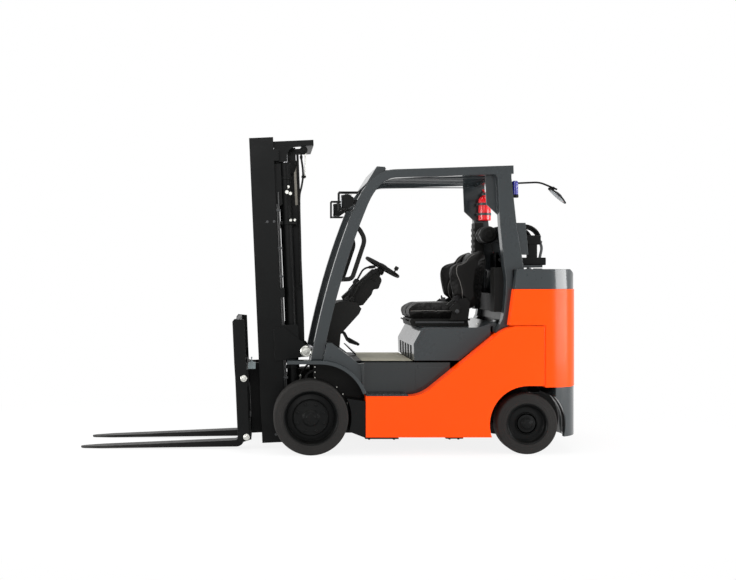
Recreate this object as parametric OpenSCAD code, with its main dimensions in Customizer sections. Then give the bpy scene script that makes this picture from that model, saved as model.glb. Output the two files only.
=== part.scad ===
// Counterbalanced forklift truck on cushion tyres, with a three-stage mast.
// Millimetres. X points forward, Y to the truck's left, Z up from the floor.

/* [Wheels and axles] */
// Distance between the front and rear axles
wheelbase = 1620; // [1560:5:1680]
// Front tyre diameter
front_tyre_d = 559; // [540:1:575]
// Front tyre width
front_tyre_w = 229; // [200:1:235]
// Front rim diameter
front_rim_d = 406; // [390:1:420]
// Distance between the front tyres' middle planes
front_track = 1011; // [1000:1:1030]
// Rear tyre diameter
rear_tyre_d = 457; // [440:1:465]
// Rear tyre width
rear_tyre_w = 152; // [140:1:158]
// Rear rim diameter
rear_rim_d = 308; // [300:1:316]
// Distance between the rear tyres' middle planes
rear_track = 980; // [970:1:990]

/* [Body] */
// Width over the body sides
body_w = 1200; // [1180:5:1240]
// Height of the body's lower edge
sill_z = 134; // [120:1:150]
// Height of the step
step_z = 440; // [420:5:460]
// Height of the operator's floor
floor_z = 690; // [680:5:710]
// Height of the engine hood's flat top
hood_z = 945; // [935:5:960]
// Distance from the rear axle to the back of the counterweight
rear_overhang = 429; // [420:1:460]
// Height of the counterweight's painted casting
weight_z = 1237; // [1220:1:1260]
// Height of the cap on the counterweight
cap_h = 150; // [130:1:165]

/* [Overhead guard] */
// Width over the guard's legs
guard_w = 1020; // [1000:5:1040]
// Height of the guard's top at the rear
guard_z = 2168; // [2140:1:2200]
// Depth of a guard leg, seen from the side
leg_w = 88; // [80:1:96]
// Thickness of a guard leg, seen from the front
leg_t = 80; // [70:1:90]

/* [Mast] */
// Height of the lowered mast rails
mast_h = 2346; // [2300:1:2400]
// Width over the outer rails
mast_w = 700; // [690:1:720]
// Depth of the outer rails, seen from the side
rail_depth = 185; // [175:1:195]
// Forward lean of the parked mast, in degrees
rest_tilt = 2.5; // [1:0.1:3]
// Diameter of a lift cylinder barrel
lift_barrel_d = 85; // [75:1:90]

/* [Forks] */
// Length of a fork blade
fork_l = 1220; // [1000:10:1220]
// Width of a fork
fork_w = 125; // [100:1:150]
// Thickness of a fork at its heel
fork_t = 50; // [45:1:55]
// Distance between the forks' middle planes
fork_pitch = 530; // [450:5:650]
// Width over the carriage bars
carriage_w = 980; // [940:5:1040]
// Height of the load backrest
backrest_h = 936; // [900:1:1000]

/* [Operator's place] */
// Diameter of the steering wheel
handwheel_d = 312; // [290:1:340]
// Lean of the steering wheel's plane, in degrees
handwheel_lean = 31; // [28:1:34]
// Width of the seat
seat_w = 490; // [450:5:520]

/* [Hidden] */
$fn = 64;

ORANGE = [0.95, 0.30, 0.08];
GREY = [0.22, 0.24, 0.25];
BLACK = [0.05, 0.05, 0.05];
RUBBER = [0.10, 0.10, 0.10];
STEEL = [0.60, 0.60, 0.62];
RED = [0.75, 0.08, 0.08];
BLUE = [0.10, 0.12, 0.70];

// Clearances: between turning faces, between sliding pieces, and between panels
run_gap = 0.3;
slide_gap = 5;
panel_gap = 5;

// Places along the truck, from the front axle
front_r = front_tyre_d / 2;
rear_r = rear_tyre_d / 2;
rear_x = -wheelbase;
tail_x = rear_x - rear_overhang;
half_w = body_w / 2;
box_t = 130;
box_y = half_w - box_t;
guard_y = guard_w / 2;

// Mast stages, from the front axle and before the mast leans
rail_z = 68;
rail_x = 187;
rail_top = rail_z + mast_h;
rail_w = 60;
rail_step = rail_w + slide_gap;
rail_t = 18;
stage_lift = 2000;
head_lift = 700;
head_z = 1450;
cylinder_x = 106;
cylinder_y = mast_w / 2 - 85;

// Forks and carriage, before the mast leans
shank_x = 510;
blade_x = shank_x + fork_t;
blade_z = 95;
tip_t = 13;
carriage_z = 120;
carriage_top = 650;
carriage_bar_h = 130;

// The truck's reach ahead of and behind the front axle, with the mast at rest, sets the middle of its length
tip_reach = (blade_x + fork_l) * cos(rest_tilt) + (blade_z - front_r) * sin(rest_tilt);
middle_x = (tip_reach + tail_x) / 2;

// Points along a circular arc
function arc(c, r, from, to, n = 12) =
    [for (i = [0:n]) let (a = from + (to - from) * i / n) [c[0] + r * cos(a), c[1] + r * sin(a)]];

// Points along a quadratic curve that leaves p towards q and arrives at s
function bend(p, q, s, n = 10) =
    [for (i = [0:n]) let (t = i / n) (1 - t) * (1 - t) * p + 2 * t * (1 - t) * q + t * t * s];

// Points set off sideways from a line of points
function normal_at(p, i) =
    let (a = p[max(i - 1, 0)], b = p[min(i + 1, len(p) - 1)], d = b - a) [-d[1], d[0]] / norm(d);
function beside(p, off) = [for (i = [0:len(p) - 1]) p[i] + off * normal_at(p, i)];
function reversed(p) = [for (i = [len(p) - 1:-1:0]) p[i]];
function band(p, w) = concat(beside(p, w / 2), reversed(beside(p, -w / 2)));

// A side outline in X and Z, given thickness across the truck from y to y + t
module slab(points, y, t) translate([0, y + t, 0]) rotate([90, 0, 0]) linear_extrude(t) polygon(points);

// A box between two corners
module block(a, b) translate(a) cube(b - a);

// The children and their mirror image on the truck's other side
module both_sides() {
    children();
    mirror([0, 1, 0]) children();
}

// The children only on one side: 1 is the left and -1 the right
module on_side(side) mirror([0, side > 0 ? 0 : 1, 0]) children();

// A round bar across the truck
module across(x, z, y, length, d) translate([x, y, z]) rotate([-90, 0, 0]) cylinder(h = length, d = d);

// A round bar between two points
module bar(p, q, d) let (v = q - p) translate(p) rotate([0, acos(v[2] / norm(v)), atan2(v[1], v[0])])
    cylinder(h = norm(v), d = d, $fn = 32);

// A ring profile turned about an axle that points along +Y
module turned(x, y, z, points)
    translate([x, y, z]) rotate([-90, 0, 0]) rotate_extrude($fn = 96) polygon(points);

// A tube of n sides swept along points in space
function unit(v) = v / norm(v);
function along(p, i) = unit(p[min(i + 1, len(p) - 1)] - p[max(i - 1, 0)]);
function side_of(t) = unit(cross(t, abs(t[1]) < 0.9 ? [0, 1, 0] : [1, 0, 0]));
module tube(path, d, n = 8) {
    last = len(path) - 1;
    points = [for (i = [0:last]) let (t = along(path, i), u = side_of(t), v = cross(t, u))
        for (k = [0:n - 1]) path[i] + d / 2 * (cos(360 * k / n) * u + sin(360 * k / n) * v)];
    walls = [for (i = [0:last - 1], k = [0:n - 1]) let (m = (k + 1) % n)
        [i * n + k, i * n + m, (i + 1) * n + m, (i + 1) * n + k]];
    ends = [[for (k = [n - 1:-1:0]) k], [for (k = [0:n - 1]) last * n + k]];
    polyhedron(points, concat(walls, ends));
}

// The mast's lean about the front axle
module leaning() translate([0, 0, front_r]) rotate([0, rest_tilt, 0]) translate([0, 0, -front_r]) children();

// Moves the front axle's frame to the middle of the truck's length
module placed() translate([-middle_x, 0, 0]) children();

// Body side: box with the step at its front, the rising edge and the rear wheel arch
box_front_x = -409;
step_end_x = -735;
seam_x = rear_x - 125;
box_top_z = 962;
arch_r = rear_r + 60;
arch_top_z = rear_r + arch_r;
well_gap = 15;
king_y = 400;
function box_outline() = concat(
    [[box_front_x, sill_z], [box_front_x, step_z]],
    bend([step_end_x, step_z], [step_end_x - 90, step_z], [step_end_x - 170, step_z + 66]),
    bend([-1395, 905], [-1470, box_top_z], [-1545, box_top_z]),
    [[seam_x + panel_gap, box_top_z], [seam_x + panel_gap, arch_top_z]],
    arc([rear_x, rear_r], arch_r, 90, asin((sill_z - rear_r) / arch_r), 16)
);

// Space that a steered rear wheel sweeps about its kingpin
tyre_out = rear_track / 2 + rear_tyre_w / 2 - king_y;
function swept_r(h) = sqrt(tyre_out * tyre_out + rear_r * rear_r - h * h) + well_gap;
module wheel_well(side) translate([rear_x, side * king_y, rear_r]) rotate_extrude() polygon(concat(
    [[0, -rear_r - 1], [swept_r(0), -rear_r - 1]],
    [for (i = [0:6]) let (h = rear_r * i / 6) [swept_r(h), h]],
    [[swept_r(rear_r), arch_r], [0, arch_r]]
));

// Tilt cylinders: rear pin on the frame, front pin on the mast, both from the front axle
tilt_rear = [-560, 540];
tilt_front = [7, 758];
tilt_y = 335;
tilt_pin_d = 30;
eye_w = 20;
ear_t = 10;
ear_span = eye_w + 2 * (slide_gap + ear_t);

spine_w = 190;
module frame() color(ORANGE) {
    difference() {
        both_sides() slab(box_outline(), box_y, box_t);
        wheel_well(1);
        wheel_well(-1);
    }
    // Cross members under the engine and ahead of the steer axle
    block([-520, -box_y - 1, 180], [-420, box_y + 1, 400]);
    block([-1290, -box_y - 1, 180], [-1210, box_y + 1, 400]);
    // Longitudinal rails that carry the drive axle
    both_sides() difference() {
        union() {
            block([-430, 310, 330], [90, 372, 470]);
            block([-85, 310, front_r - 70], [85, 372, 331]);
        }
        across(0, front_r, 300, 90, axle_d);
    }
    // Bulkhead with the ears that hold the tilt cylinders
    block([-660, -box_y - 1, 330], [-620, box_y + 1, step_z - run_gap]);
    block([-660, 40 - box_y + run_gap, 330], [-620, box_y - 40 - run_gap, 640]);
    both_sides() {
        for (y = [tilt_y - eye_w / 2 - slide_gap - ear_t, tilt_y + eye_w / 2 + slide_gap])
            slab(concat([[-621, 480], [-621, 620]], arc(tilt_rear, 38, 80, -100)), y, ear_t);
        across(tilt_rear[0], tilt_rear[1], tilt_y - ear_span / 2, ear_span, tilt_pin_d);
    }
    // Spine that the steer axle hangs from, and the cross beam over its wheels
    block([rear_x - 75, -spine_w / 2, steer_z + 108], [-1211, spine_w / 2, 400]);
    block([rear_x - 110, -spine_w / 2 - 45, 399], [rear_x + 240, spine_w / 2 + 45, arch_top_z + 40]);
    block([rear_x + 20, -box_y - 1, arch_top_z + 10], [rear_x + 100, box_y + 1, arch_top_z + 50]);
}

// Drive axle: housing tube, differential bowl and the spindles that the wheels turn on
axle_d = 116;
axle_y = front_track / 2 - front_tyre_w / 2 - 8;
spindle_d = 100;
spindle_y = front_track / 2 + 60;
module front_axle() color(BLACK) {
    across(0, front_r, -axle_y, 2 * axle_y, axle_d);
    across(0, front_r, -spindle_y, 2 * spindle_y, spindle_d);
    translate([0, 0, front_r]) sphere(r = 140);
}

// Steer axle: beam, end yokes and kingpins
steer_z = rear_r;
yoke_z = 66;
yoke_t = 30;
king_d = 40;
module steer_axle() color(BLACK) {
    block([rear_x - 50, -330, steer_z - 50], [rear_x + 50, 330, steer_z + 50]);
    block([rear_x - 60, -70, steer_z + 50], [rear_x + 60, 70, steer_z + 108]);
    both_sides() {
        block([rear_x - 45, 300, steer_z - yoke_z - yoke_t], [rear_x + 45, 330, steer_z + yoke_z + yoke_t]);
        for (z = [steer_z - yoke_z - yoke_t, steer_z + yoke_z]) {
            block([rear_x - 40, 300, z], [rear_x + 40, king_y, z + yoke_t]);
            translate([rear_x, king_y, z]) cylinder(d = 80, h = yoke_t);
        }
        translate([rear_x, king_y, steer_z - yoke_z - yoke_t])
            cylinder(d = king_d, h = 2 * (yoke_z + yoke_t));
    }
}

// Steering knuckle: barrel on the kingpin and the spindle that the rear wheel turns on
rear_spindle_d = 60;
rear_spindle_y = rear_track / 2 + 42;
module knuckle(side) color(BLACK) on_side(side) difference() {
    union() {
        translate([rear_x, king_y, steer_z - yoke_z + 3]) cylinder(d = 84, h = 2 * yoke_z - 6);
        across(rear_x, steer_z, king_y, rear_spindle_y - king_y, rear_spindle_d);
        across(rear_x, steer_z, king_y, 58, 92);
    }
    translate([rear_x, king_y, 0]) cylinder(d = king_d + 2 * run_gap, h = 2 * steer_z);
}

// Press-on cushion tyre
module tyre(side, x, track, d, w, rim_d)
    color(RUBBER) on_side(side) turned(x, track / 2 - w / 2, d / 2, concat(
        [[rim_d / 2, 0], [rim_d / 2 + 12, 0], [d / 2 - 26, 4]],
        arc([d / 2 - 16, 20], 16, -60, 0, 4),
        arc([d / 2 - 16, w - 20], 16, 0, 60, 4),
        [[d / 2 - 26, w - 4], [rim_d / 2 + 12, w], [rim_d / 2, w]]
    ));

module front_tyre(side) tyre(side, 0, front_track, front_tyre_d, front_tyre_w, front_rim_d);
module rear_tyre(side) tyre(side, rear_x, rear_track, rear_tyre_d, rear_tyre_w, rear_rim_d);

// Drive wheel: rim band, dished disc and the hub with its closed cap
module front_wheel(side) color(BLACK) on_side(side)
    let (r = front_rim_d / 2, w = front_tyre_w, b = spindle_d / 2 + run_gap)
    turned(0, front_track / 2 - w / 2, front_r, [
        [0, w - 16], [58, w - 16], [66, w - 24], [130, w - 30], [137, w - 37], [137, w - 48],
        [r - 30, w - 56], [r - 17, w - 40], [r - 13, w - 8], [r - 4, w + 4], [r, w + 4], [r, 0],
        [r - 13, 0], [r - 13, w - 100], [r - 40, w - 82], [80, w - 82], [80, 40], [b, 40], [b, w - 50],
        [0, w - 50]
    ]);

// Steer wheel: rim band, deep disc and the hub with its closed cap
module rear_wheel(side) color(BLACK) on_side(side)
    let (r = rear_rim_d / 2, w = rear_tyre_w, b = rear_spindle_d / 2 + run_gap)
    turned(rear_x, rear_track / 2 - w / 2, rear_r, [
        [0, w - 8], [36, w - 8], [43, w - 14], [43, w - 26], [78, w - 32], [86, w - 40], [r - 34, w - 44],
        [r - 18, w - 28], [r - 12, w - 4], [r - 4, w + 3], [r, w + 3], [r, 0], [r - 12, 0], [r - 12, w - 62],
        [r - 40, w - 60], [56, w - 60], [56, w - 80], [b, w - 80], [b, w - 30], [0, w - 30]
    ]);

// Engine under the hood
module engine_block() color(BLACK) block([-1260, -230, 400 + run_gap], [-830, 230, 830]);

// Dark liners behind the front wheels
liner_r = front_r + 22;
liner_w = 200;
module wheel_liners() color(BLACK) both_sides() slab(concat(
    arc([0, front_r], liner_r, 152, 200),
    [[box_front_x + run_gap, sill_z - 6], [box_front_x + run_gap, step_z - 38]]
), half_w - panel_gap - liner_w, liner_w);

// Floor with its sloping toe board
toe_x = -330;
cowl_front_x = -130;
plate_t = 8;
function toe_z(x) = floor_z + run_gap + 119 * (toe_x - x) / (toe_x - cowl_front_x);
module floor_plate() color(BLACK) {
    front = guard_y - leg_t - 25 - run_gap;
    slab([[toe_x, floor_z], [-394, floor_z], [-394, floor_z - plate_t], [toe_x, floor_z - plate_t],
        [cowl_front_x, floor_z + 110], [cowl_front_x, floor_z + 119]], -front, 2 * front);
    block([-780, run_gap + 40 - box_y, floor_z - plate_t], [-393, box_y - 40 - run_gap, floor_z]);
}

// Recessed side panels under the floor and the step treads
module step_panels() color(GREY) both_sides() {
    slab([[box_front_x - 4, step_z], [-1060, step_z], [-1060, floor_z - 10], [-393, floor_z - 10]],
        box_y - 40, 30);
    block([step_end_x + 10, box_y - 12, step_z + run_gap], [box_front_x - 4, half_w - 10, step_z + 8]);
    for (i = [0:5]) let (x = step_end_x + 30 + 48 * i)
        block([x, box_y + 4, step_z + 8], [x + 20, half_w - 24, step_z + 12]);
}

// Front fenders: a curved sheet over the wheel with a rolled lip, and the cowl side above it
fender_z = 696;
fender_t = 12;
fender_in = 385;
module front_fenders() color(GREY) both_sides() {
    slab(concat(fender_line(0), reversed(fender_line(-fender_t))), fender_in, half_w + 5 - fender_in);
    slab(concat(fender_line(8), reversed(fender_line(-fender_t - 6))), half_w - 17, 22);
    slab(concat(
        [[-49 - leg_w / 2, fender_z]], [for (p = fender_line(0)) if (p[0] < -100 && p[0] > -385) p],
        [[-388, floor_z - 42], [-345, floor_z + 2], [-160, 833], [-78 - leg_w / 2, 833]]
    ), guard_y - leg_t - 25, leg_t + 65);
}
function fender_line(off) = concat(
    [[175, fender_z + off]],
    arc([-70, 338], fender_z - 338 + off, 90, 160, 14)
);

// Pod under the steering column and the column's shroud and shaft
module dash_cowl() color(BLACK) {
    slab(concat([[-142, toe_z(-142)], [-150, 1045]], bend([-175, 1095], [-215, 1140], [-290, 1142]),
        [[-375, 1128], [-412, 1080], [-395, 1040], [-250, 880], [-238, toe_z(-238)]]), -215, 430);
    slab([[-272, 1170], [-290, 1130], [-390, 1090], [-578, 1338], [-560, 1372], [-520, 1392]], -58, 116);
    at_handwheel() translate([0, 0, -70]) cylinder(d = 34, h = 70 - handwheel_hub / 2 - run_gap);
}

// Column head and steering wheel with its spokes and spinner knob
hand_x = -600;
hand_z = 1406;
handwheel_hub = 24;
module at_handwheel() translate([hand_x, 0, hand_z]) rotate([0, -handwheel_lean, 0]) children();
module steering_wheel() color(BLACK) at_handwheel() {
    rotate_extrude($fn = 96) translate([handwheel_d / 2 - 13, 0]) circle(d = 26);
    cylinder(d = 78, h = handwheel_hub, center = true);
    for (a = [20, 140, 260]) rotate([0, 0, a]) block([30, -13, -6], [handwheel_d / 2 - 14, 13, 6]);
    rotate([0, 0, 140]) translate([handwheel_d / 2 - 34, 0, 3]) {
        cylinder(d = 12, h = 27);
        translate([0, 0, 26]) cylinder(d = 32, h = 30);
    }
}

// Levers beside the column and the pedals on the toe board
module controls() color(BLACK) {
    for (i = [0:2]) let (y = -112 - 44 * i) {
        bar([-320, y, 1138.6], [-352, y, 1232], 14);
        bar([-350, y, 1228], [-398, y, 1288], 12);
        bar([-390, y, 1278], [-412, y, 1305.5], 32);
    }
    bar([-343, 102, 1138], [-404, 150, 1262], 20);
    bar([-402, 149, 1258], [-520, 156, 1372], 16);
    bar([-500, 155, 1352], [-536, 157, 1387], 26);
    for (p = [[95, 90], [-30, 70], [-140, 60]])
        slab([[-273, 904.5], [-292, 892], [-330, 822], [-372, 800], [-376, 790], [-322, 806], [-284, 880],
            [-251.4, 881]], p[0] - p[1] / 2, p[1]);
}

// Overhead guard: each side is a bent front leg and roof rail joined to a rear leg
rail_h = 62;
rail_end = [-1530, guard_z - rail_h / 2];
front_leg = bend([-43, fender_z - 14], [-165, 1330], [-376, 1849], 10);
roof_bend = bend([-376, 1849], [-478, 2101], [-640, 2108], 10);
function tapering(p, from, to) = let (n = len(p) - 1) concat(
    [for (i = [0:n]) p[i] + (from + (to - from) * i / n) / 2 * normal_at(p, i)],
    [for (i = [n:-1:0]) p[i] - (from + (to - from) * i / n) / 2 * normal_at(p, i)]
);
cap_top = weight_z + cap_h;
function rear_leg() = concat(
    [[-1390, 2106], [-1409, 2073], [-1428, 1720], [-1458, 1422]],
    bend([-1473, 1316], [-1473, 1140], [-1448, 1013], 6),
    [for (p = bend([-1395, 905], [-1470, box_top_z], [-1545, box_top_z])) if (p[0] > -1496) p + [0, run_gap]],
    [[-1497, 989], [-1514, 1140], [-1523, 1265], [-1523, cap_top + run_gap], [-1609, cap_top + run_gap]],
    [[-1553, 1720], [-1514, 2073], [-1514, 2120], [-1390, 2120]]
);
module guard_sides() color(GREY) both_sides() {
    difference() {
        slab(band(front_leg, leg_w), guard_y - leg_t, leg_t);
        block([-300, 0, 600], [300, 700, fender_z + run_gap]);
    }
    slab(tapering(roof_bend, leg_w, rail_h), guard_y - leg_t, leg_t);
    slab(band([[-638, 2108], rail_end], rail_h), guard_y - leg_t, leg_t);
    slab(rear_leg(), guard_y - leg_t, leg_t);
    slab([[-1330, 2110], [-1415, 2110], [-1430, 1795], [-1340, 1880]], guard_y - leg_t, 12);
}

// Space that a fitting leaves free around the guard's legs
module leg_space() {
    slab(band(front_leg, leg_w + 2 * run_gap), guard_y - leg_t - run_gap, leg_t + 2 * run_gap);
    slab(tapering(roof_bend, leg_w + 2 * run_gap, rail_h), guard_y - leg_t - run_gap, leg_t + 2 * run_gap);
    translate([-run_gap, 0, 0]) slab(rear_leg(), guard_y - leg_t - run_gap, leg_t + 2 * run_gap);
}

// Roof: front beam, bars and rear beam
roof_bars = 7;
module guard_roof() color(GREY) {
    inner = guard_y - leg_t;
    slab([[-433, 2045], [-449, 2036], [-560, 2130], [-580, 2150], [-570, 2166], [-510, 2170]],
        -inner, 2 * inner);
    block([-1490, -inner, 2090], [-1432, inner, 2150]);
    for (i = [0:roof_bars - 1]) let (y = (i - (roof_bars - 1) / 2) * 2 * inner / roof_bars)
        slab([[-540, 2100], [-540, 2146], [-1440, 2150], [-1440, 2104]], y - 11, 22);
}

// Grab handles on the front legs
module grab_handles() color(BLACK) both_sides() let (y = guard_y - leg_t / 2) difference() {
    tube([for (p = concat(bend([-335, 1716], [-420, 1665], [-414, 1590], 5),
        bend([-330, 1368], [-305, 1312], [-212, 1318], 5))) [p[0], y, p[1]]], 28);
    leg_space();
}

// Head lamps on the front legs, each behind a wire guard
lamp_z = 1896;
wire_d = 8;
module work_lamps() color(BLACK) both_sides()
    let (y = guard_y - leg_t / 2, lo = lamp_z - 66, hi = lamp_z + 66) {
    slab([[-246, lamp_z + 50], [-246, lamp_z - 50], [-285, lamp_z - 54], [-324, lamp_z - 28],
        [-324, lamp_z + 30], [-285, lamp_z + 54]], y - 55, 110);
    difference() {
        block([-400, y - 20, lamp_z - 11], [-320, y + 20, lamp_z + 14]);
        leg_space();
    }
    difference() {
        block([-420, y - wire_d / 2, hi], [-214, y + wire_d / 2, hi + wire_d]);
        leg_space();
    }
    for (d = [-66, 0, 66]) {
        if (d != 0) block([-368, y + d - wire_d / 2, hi], [-214, y + d + wire_d / 2, hi + wire_d]);
        block([-318, y + d - wire_d / 2, lo], [-214, y + d + wire_d / 2, lo + wire_d]);
        block([-220, y + d - wire_d / 2, lo], [-212, y + d + wire_d / 2, hi + wire_d]);
    }
    for (p = [[-236, lo], [-236, hi], [-318, lo], [-368, hi]])
        block([p[0], y - 70, p[1]], [p[0] + wire_d, y + 70, p[1] + wire_d]);
}

// Blue strobe on the left rear leg, and the floor spot lamp on its arm
module rear_lamps() color(BLUE) let (y = guard_y - leg_t / 2) {
    translate([-1562, y, 1940]) cylinder(d = 62, h = 118);
    difference() {
        union() {
            block([-1550, y - 18, 1975], [-1500, y + 18, 2040]);
            bar([-1540, y, 2032], [-1648, y, 2048], 14);
        }
        leg_space();
    }
    bar([-1645, y, 2049], [-1758, y, 2042], 13);
    bar([-1755, y, 2044], [-1880, y, 1950], 12);
    slab([[-1822, 2008], [-1808, 1992], [-1938, 1868], [-1958, 1886]], y - 55, 110);
}

// Engine air intake on the right rear leg, and the cover across the truck in front of the counterweight
intake_w = 135;
cover_top = 1200;
module air_intake() color(BLACK) let (y = leg_t - guard_y) {
    block([-1478, y, 1062], [-1402, y + intake_w, 1780]);
    for (i = [0:5]) block([-1402, y + 14, 1480 + 46 * i], [-1394, y + intake_w - 14, 1502 + 46 * i]);
    block([-1478, y, 1062], [-1440, -y, cover_top]);
    block([-1478, -y - intake_w, 1062], [-1402, -y, 1400]);
}

// Fire extinguisher in its bracket on the right rear leg
module fire_extinguisher() color(RED) let (y = leg_t - guard_y + 62) {
    translate([-1500, y, 1800]) cylinder(d = 104, h = 170);
    translate([-1500, y, 1970]) cylinder(d1 = 104, d2 = 44, h = 34);
    translate([-1500, y, 2004]) cylinder(d = 44, h = 30);
    block([-1540, leg_t - guard_y, 1830], [-1470, y - 30, 1850]);
    block([-1540, leg_t - guard_y, 1930], [-1470, y - 30, 1950]);
}

// Counterweight: side outline crossed with the rounded plan, cut for the guard's legs and the vent
weight_front_x = -1478;
skirt_z = 505;
corner_r = 250;
duct_w = 620;
function weight_plan(g = 0) = concat(
    [[weight_front_x + 60, -half_w + 5 + g], [weight_front_x + 60, half_w - 5 - g]],
    arc([tail_x + corner_r + 25, half_w - 5 - corner_r], corner_r - g, 90, 165, 10),
    arc([tail_x + 1400, 0], 1400 - g, 171, 189, 8),
    arc([tail_x + corner_r + 25, corner_r + 5 - half_w], corner_r - g, 195, 270, 10)
);
module in_plan(g = 0) intersection() {
    children();
    linear_extrude(3000) polygon(weight_plan(g));
}
skirt_front_x = rear_x - 205;
module leg_slots(z0, z1) both_sides()
    block([-1552, guard_y - leg_t - panel_gap, z0], [-1400, guard_y + panel_gap, z1]);
module counterweight() color(ORANGE) {
    difference() {
        in_plan() slab([[weight_front_x, box_top_z + panel_gap], [weight_front_x - 36, weight_z],
            [tail_x - 1, weight_z], [tail_x - 1, skirt_z + run_gap], [seam_x, skirt_z + run_gap],
            [seam_x, box_top_z + panel_gap]], -half_w, body_w);
        leg_slots(900, weight_z + 1);
        block([tail_x + 90, -duct_w / 2 + 40, 600], [-1600, duct_w / 2 - 40, 1130]);
        block([tail_x - 1, -duct_w / 2, 640], [tail_x + 91, duct_w / 2, 1090]);
    }
    // Ears and pins of the hood's hinge
    both_sides() {
        across(hinge[0], hinge[1], 290, 100, hinge_pin_d);
        for (y = [284, 384]) block([weight_front_x - 8, y, 970], [hinge[0] + 12, y + 12, 1000]);
    }
}

// Grey cap on the counterweight, and the skirt behind the rear wheels
module counterweight_covers() color(GREY) {
    difference() {
        in_plan(6) slab([[weight_front_x - 40, weight_z + run_gap], [weight_front_x - 57, cap_top - 10],
            [weight_front_x - 66, cap_top], [tail_x + 92, cap_top], [tail_x + 4, weight_z + 90],
            [tail_x - 1, weight_z + run_gap]], -half_w, body_w);
        leg_slots(weight_z - 1, cap_top + 1);
    }
    difference() {
        in_plan(3) slab(concat([[tail_x - 1, sill_z], [tail_x - 1, skirt_z], [skirt_front_x, skirt_z]],
            arc([rear_x, rear_r], arch_r, 180 - acos((rear_x - skirt_front_x) / arch_r),
            180 - asin((sill_z - rear_r) / arch_r), 10)), -half_w, body_w);
        wheel_well(1);
        wheel_well(-1);
        block([tail_x - 1, -jaw_w / 2 - panel_gap, jaw_z - 20],
            [tail_x + 150, jaw_w / 2 + panel_gap, skirt_z - 15]);
    }
    block([skirt_front_x - 1, -spine_w / 2 - 45, 420], [rear_x - 115, spine_w / 2 + 45, skirt_z]);
}

// Louvred vent in the back of the counterweight
module rear_grille() color(BLACK) {
    y = duct_w / 2 - run_gap;
    for (s = [-1, 1]) block([tail_x + 22, s > 0 ? y - 24 : -y, 645], [tail_x + 80, s > 0 ? y : 24 - y, 1085]);
    for (i = [0:8]) let (z = 655 + 48 * i)
        slab([[tail_x + 26, z + 5], [tail_x + 32, z], [tail_x + 76, z + 35], [tail_x + 70, z + 40]],
            10 - y, 2 * y - 20);
}

// Drawbar jaw in the skirt's pocket, without its pin
jaw_z = 230;
jaw_w = 130;
jaw_x = tail_x + 62;
jaw_pin_d = 38;
module drawbar_jaw() color(BLACK) difference() {
    union() {
        block([tail_x + 110, -jaw_w / 2, jaw_z], [tail_x + 150, jaw_w / 2, jaw_z + 126]);
        for (z = [jaw_z, jaw_z + 96]) {
            block([jaw_x, -jaw_w / 2, z], [tail_x + 111, jaw_w / 2, z + 30]);
            translate([jaw_x, 0, z]) cylinder(d = jaw_w - 40, h = 30);
        }
    }
    translate([jaw_x, 0, jaw_z - 10]) cylinder(d = jaw_pin_d, h = 160);
}

// Gas bottle bracket behind the guard: cross plate, end flanges, cradle and its locating pin
gas_y = guard_y - leg_t / 2;
pin_x = -1728;
pin_d = 24;
module gas_bracket() color(GREY) {
    slab([[-1551, 1738], [-1592, 1496], [-1606, 1496], [-1565, 1738]], -gas_y, 2 * gas_y);
    both_sides() slab([[-1556, 1738], [-1597, 1496], [-1652, 1496], [-1630, 1738]], gas_y - 12, 12);
    both_sides() slab([[-1580, 1600], [-1600, 1402], [-1822, 1402], [-1822, 1440], [-1668, 1476],
        [-1640, 1600]], 180, 14);
    block([-1822, -235, 1402], [-1620, 235, 1420]);
    translate([pin_x, 0, 1420]) cylinder(d = pin_d, h = 46);
}

// Straps that hold the bottle, with their latch bars
module gas_straps() color(STEEL) both_sides() {
    slab(band(arc([-1706, 1606], 124, 20, 176, 14), 6), 110, 44);
    block([-1606, 118, 1628], [-1584, 146, 1668]);
    across(-1830, 1604, 108, 48, 22);
}

// Engine hood: a hollow cover, hinged at its rear
hinge = [-1436, 985];
hood_w = 2 * (box_y - panel_gap);
hood_t = 24;
hood_front_x = -788;
module engine_hood() color(GREY) {
    difference() {
        slab([[hood_front_x, floor_z + panel_gap], [hood_front_x + 4, 822], [hood_front_x - 58, hood_z - 10],
            [hood_front_x - 76, hood_z], [-1270, hood_z], [-1400, 985], [-1424, 972], [-1424, 934],
            [-1130, floor_z + panel_gap]], -hood_w / 2, hood_w);
        slab([[hood_front_x - hood_t, 640], [hood_front_x + 4 - hood_t, 815],
            [hood_front_x - 90, hood_z - hood_t], [-1275, hood_z - hood_t], [-1392, 955], [-1392, 860],
            [-1150, 640]], hood_t - hood_w / 2, hood_w - 2 * hood_t);
        both_sides() block([-1450, guard_y - leg_t - panel_gap, 860], [-1366, guard_y, 1000]);
    }
    both_sides() difference() {
        union() {
            across(hinge[0], hinge[1], 300, 80, 36);
            block([hinge[0] - 2, 300, 956], [-1396, 380, 985]);
        }
        across(hinge[0], hinge[1], 299, 82, hinge_pin_d + 2 * run_gap);
    }
}
hinge_pin_d = 16;

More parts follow.
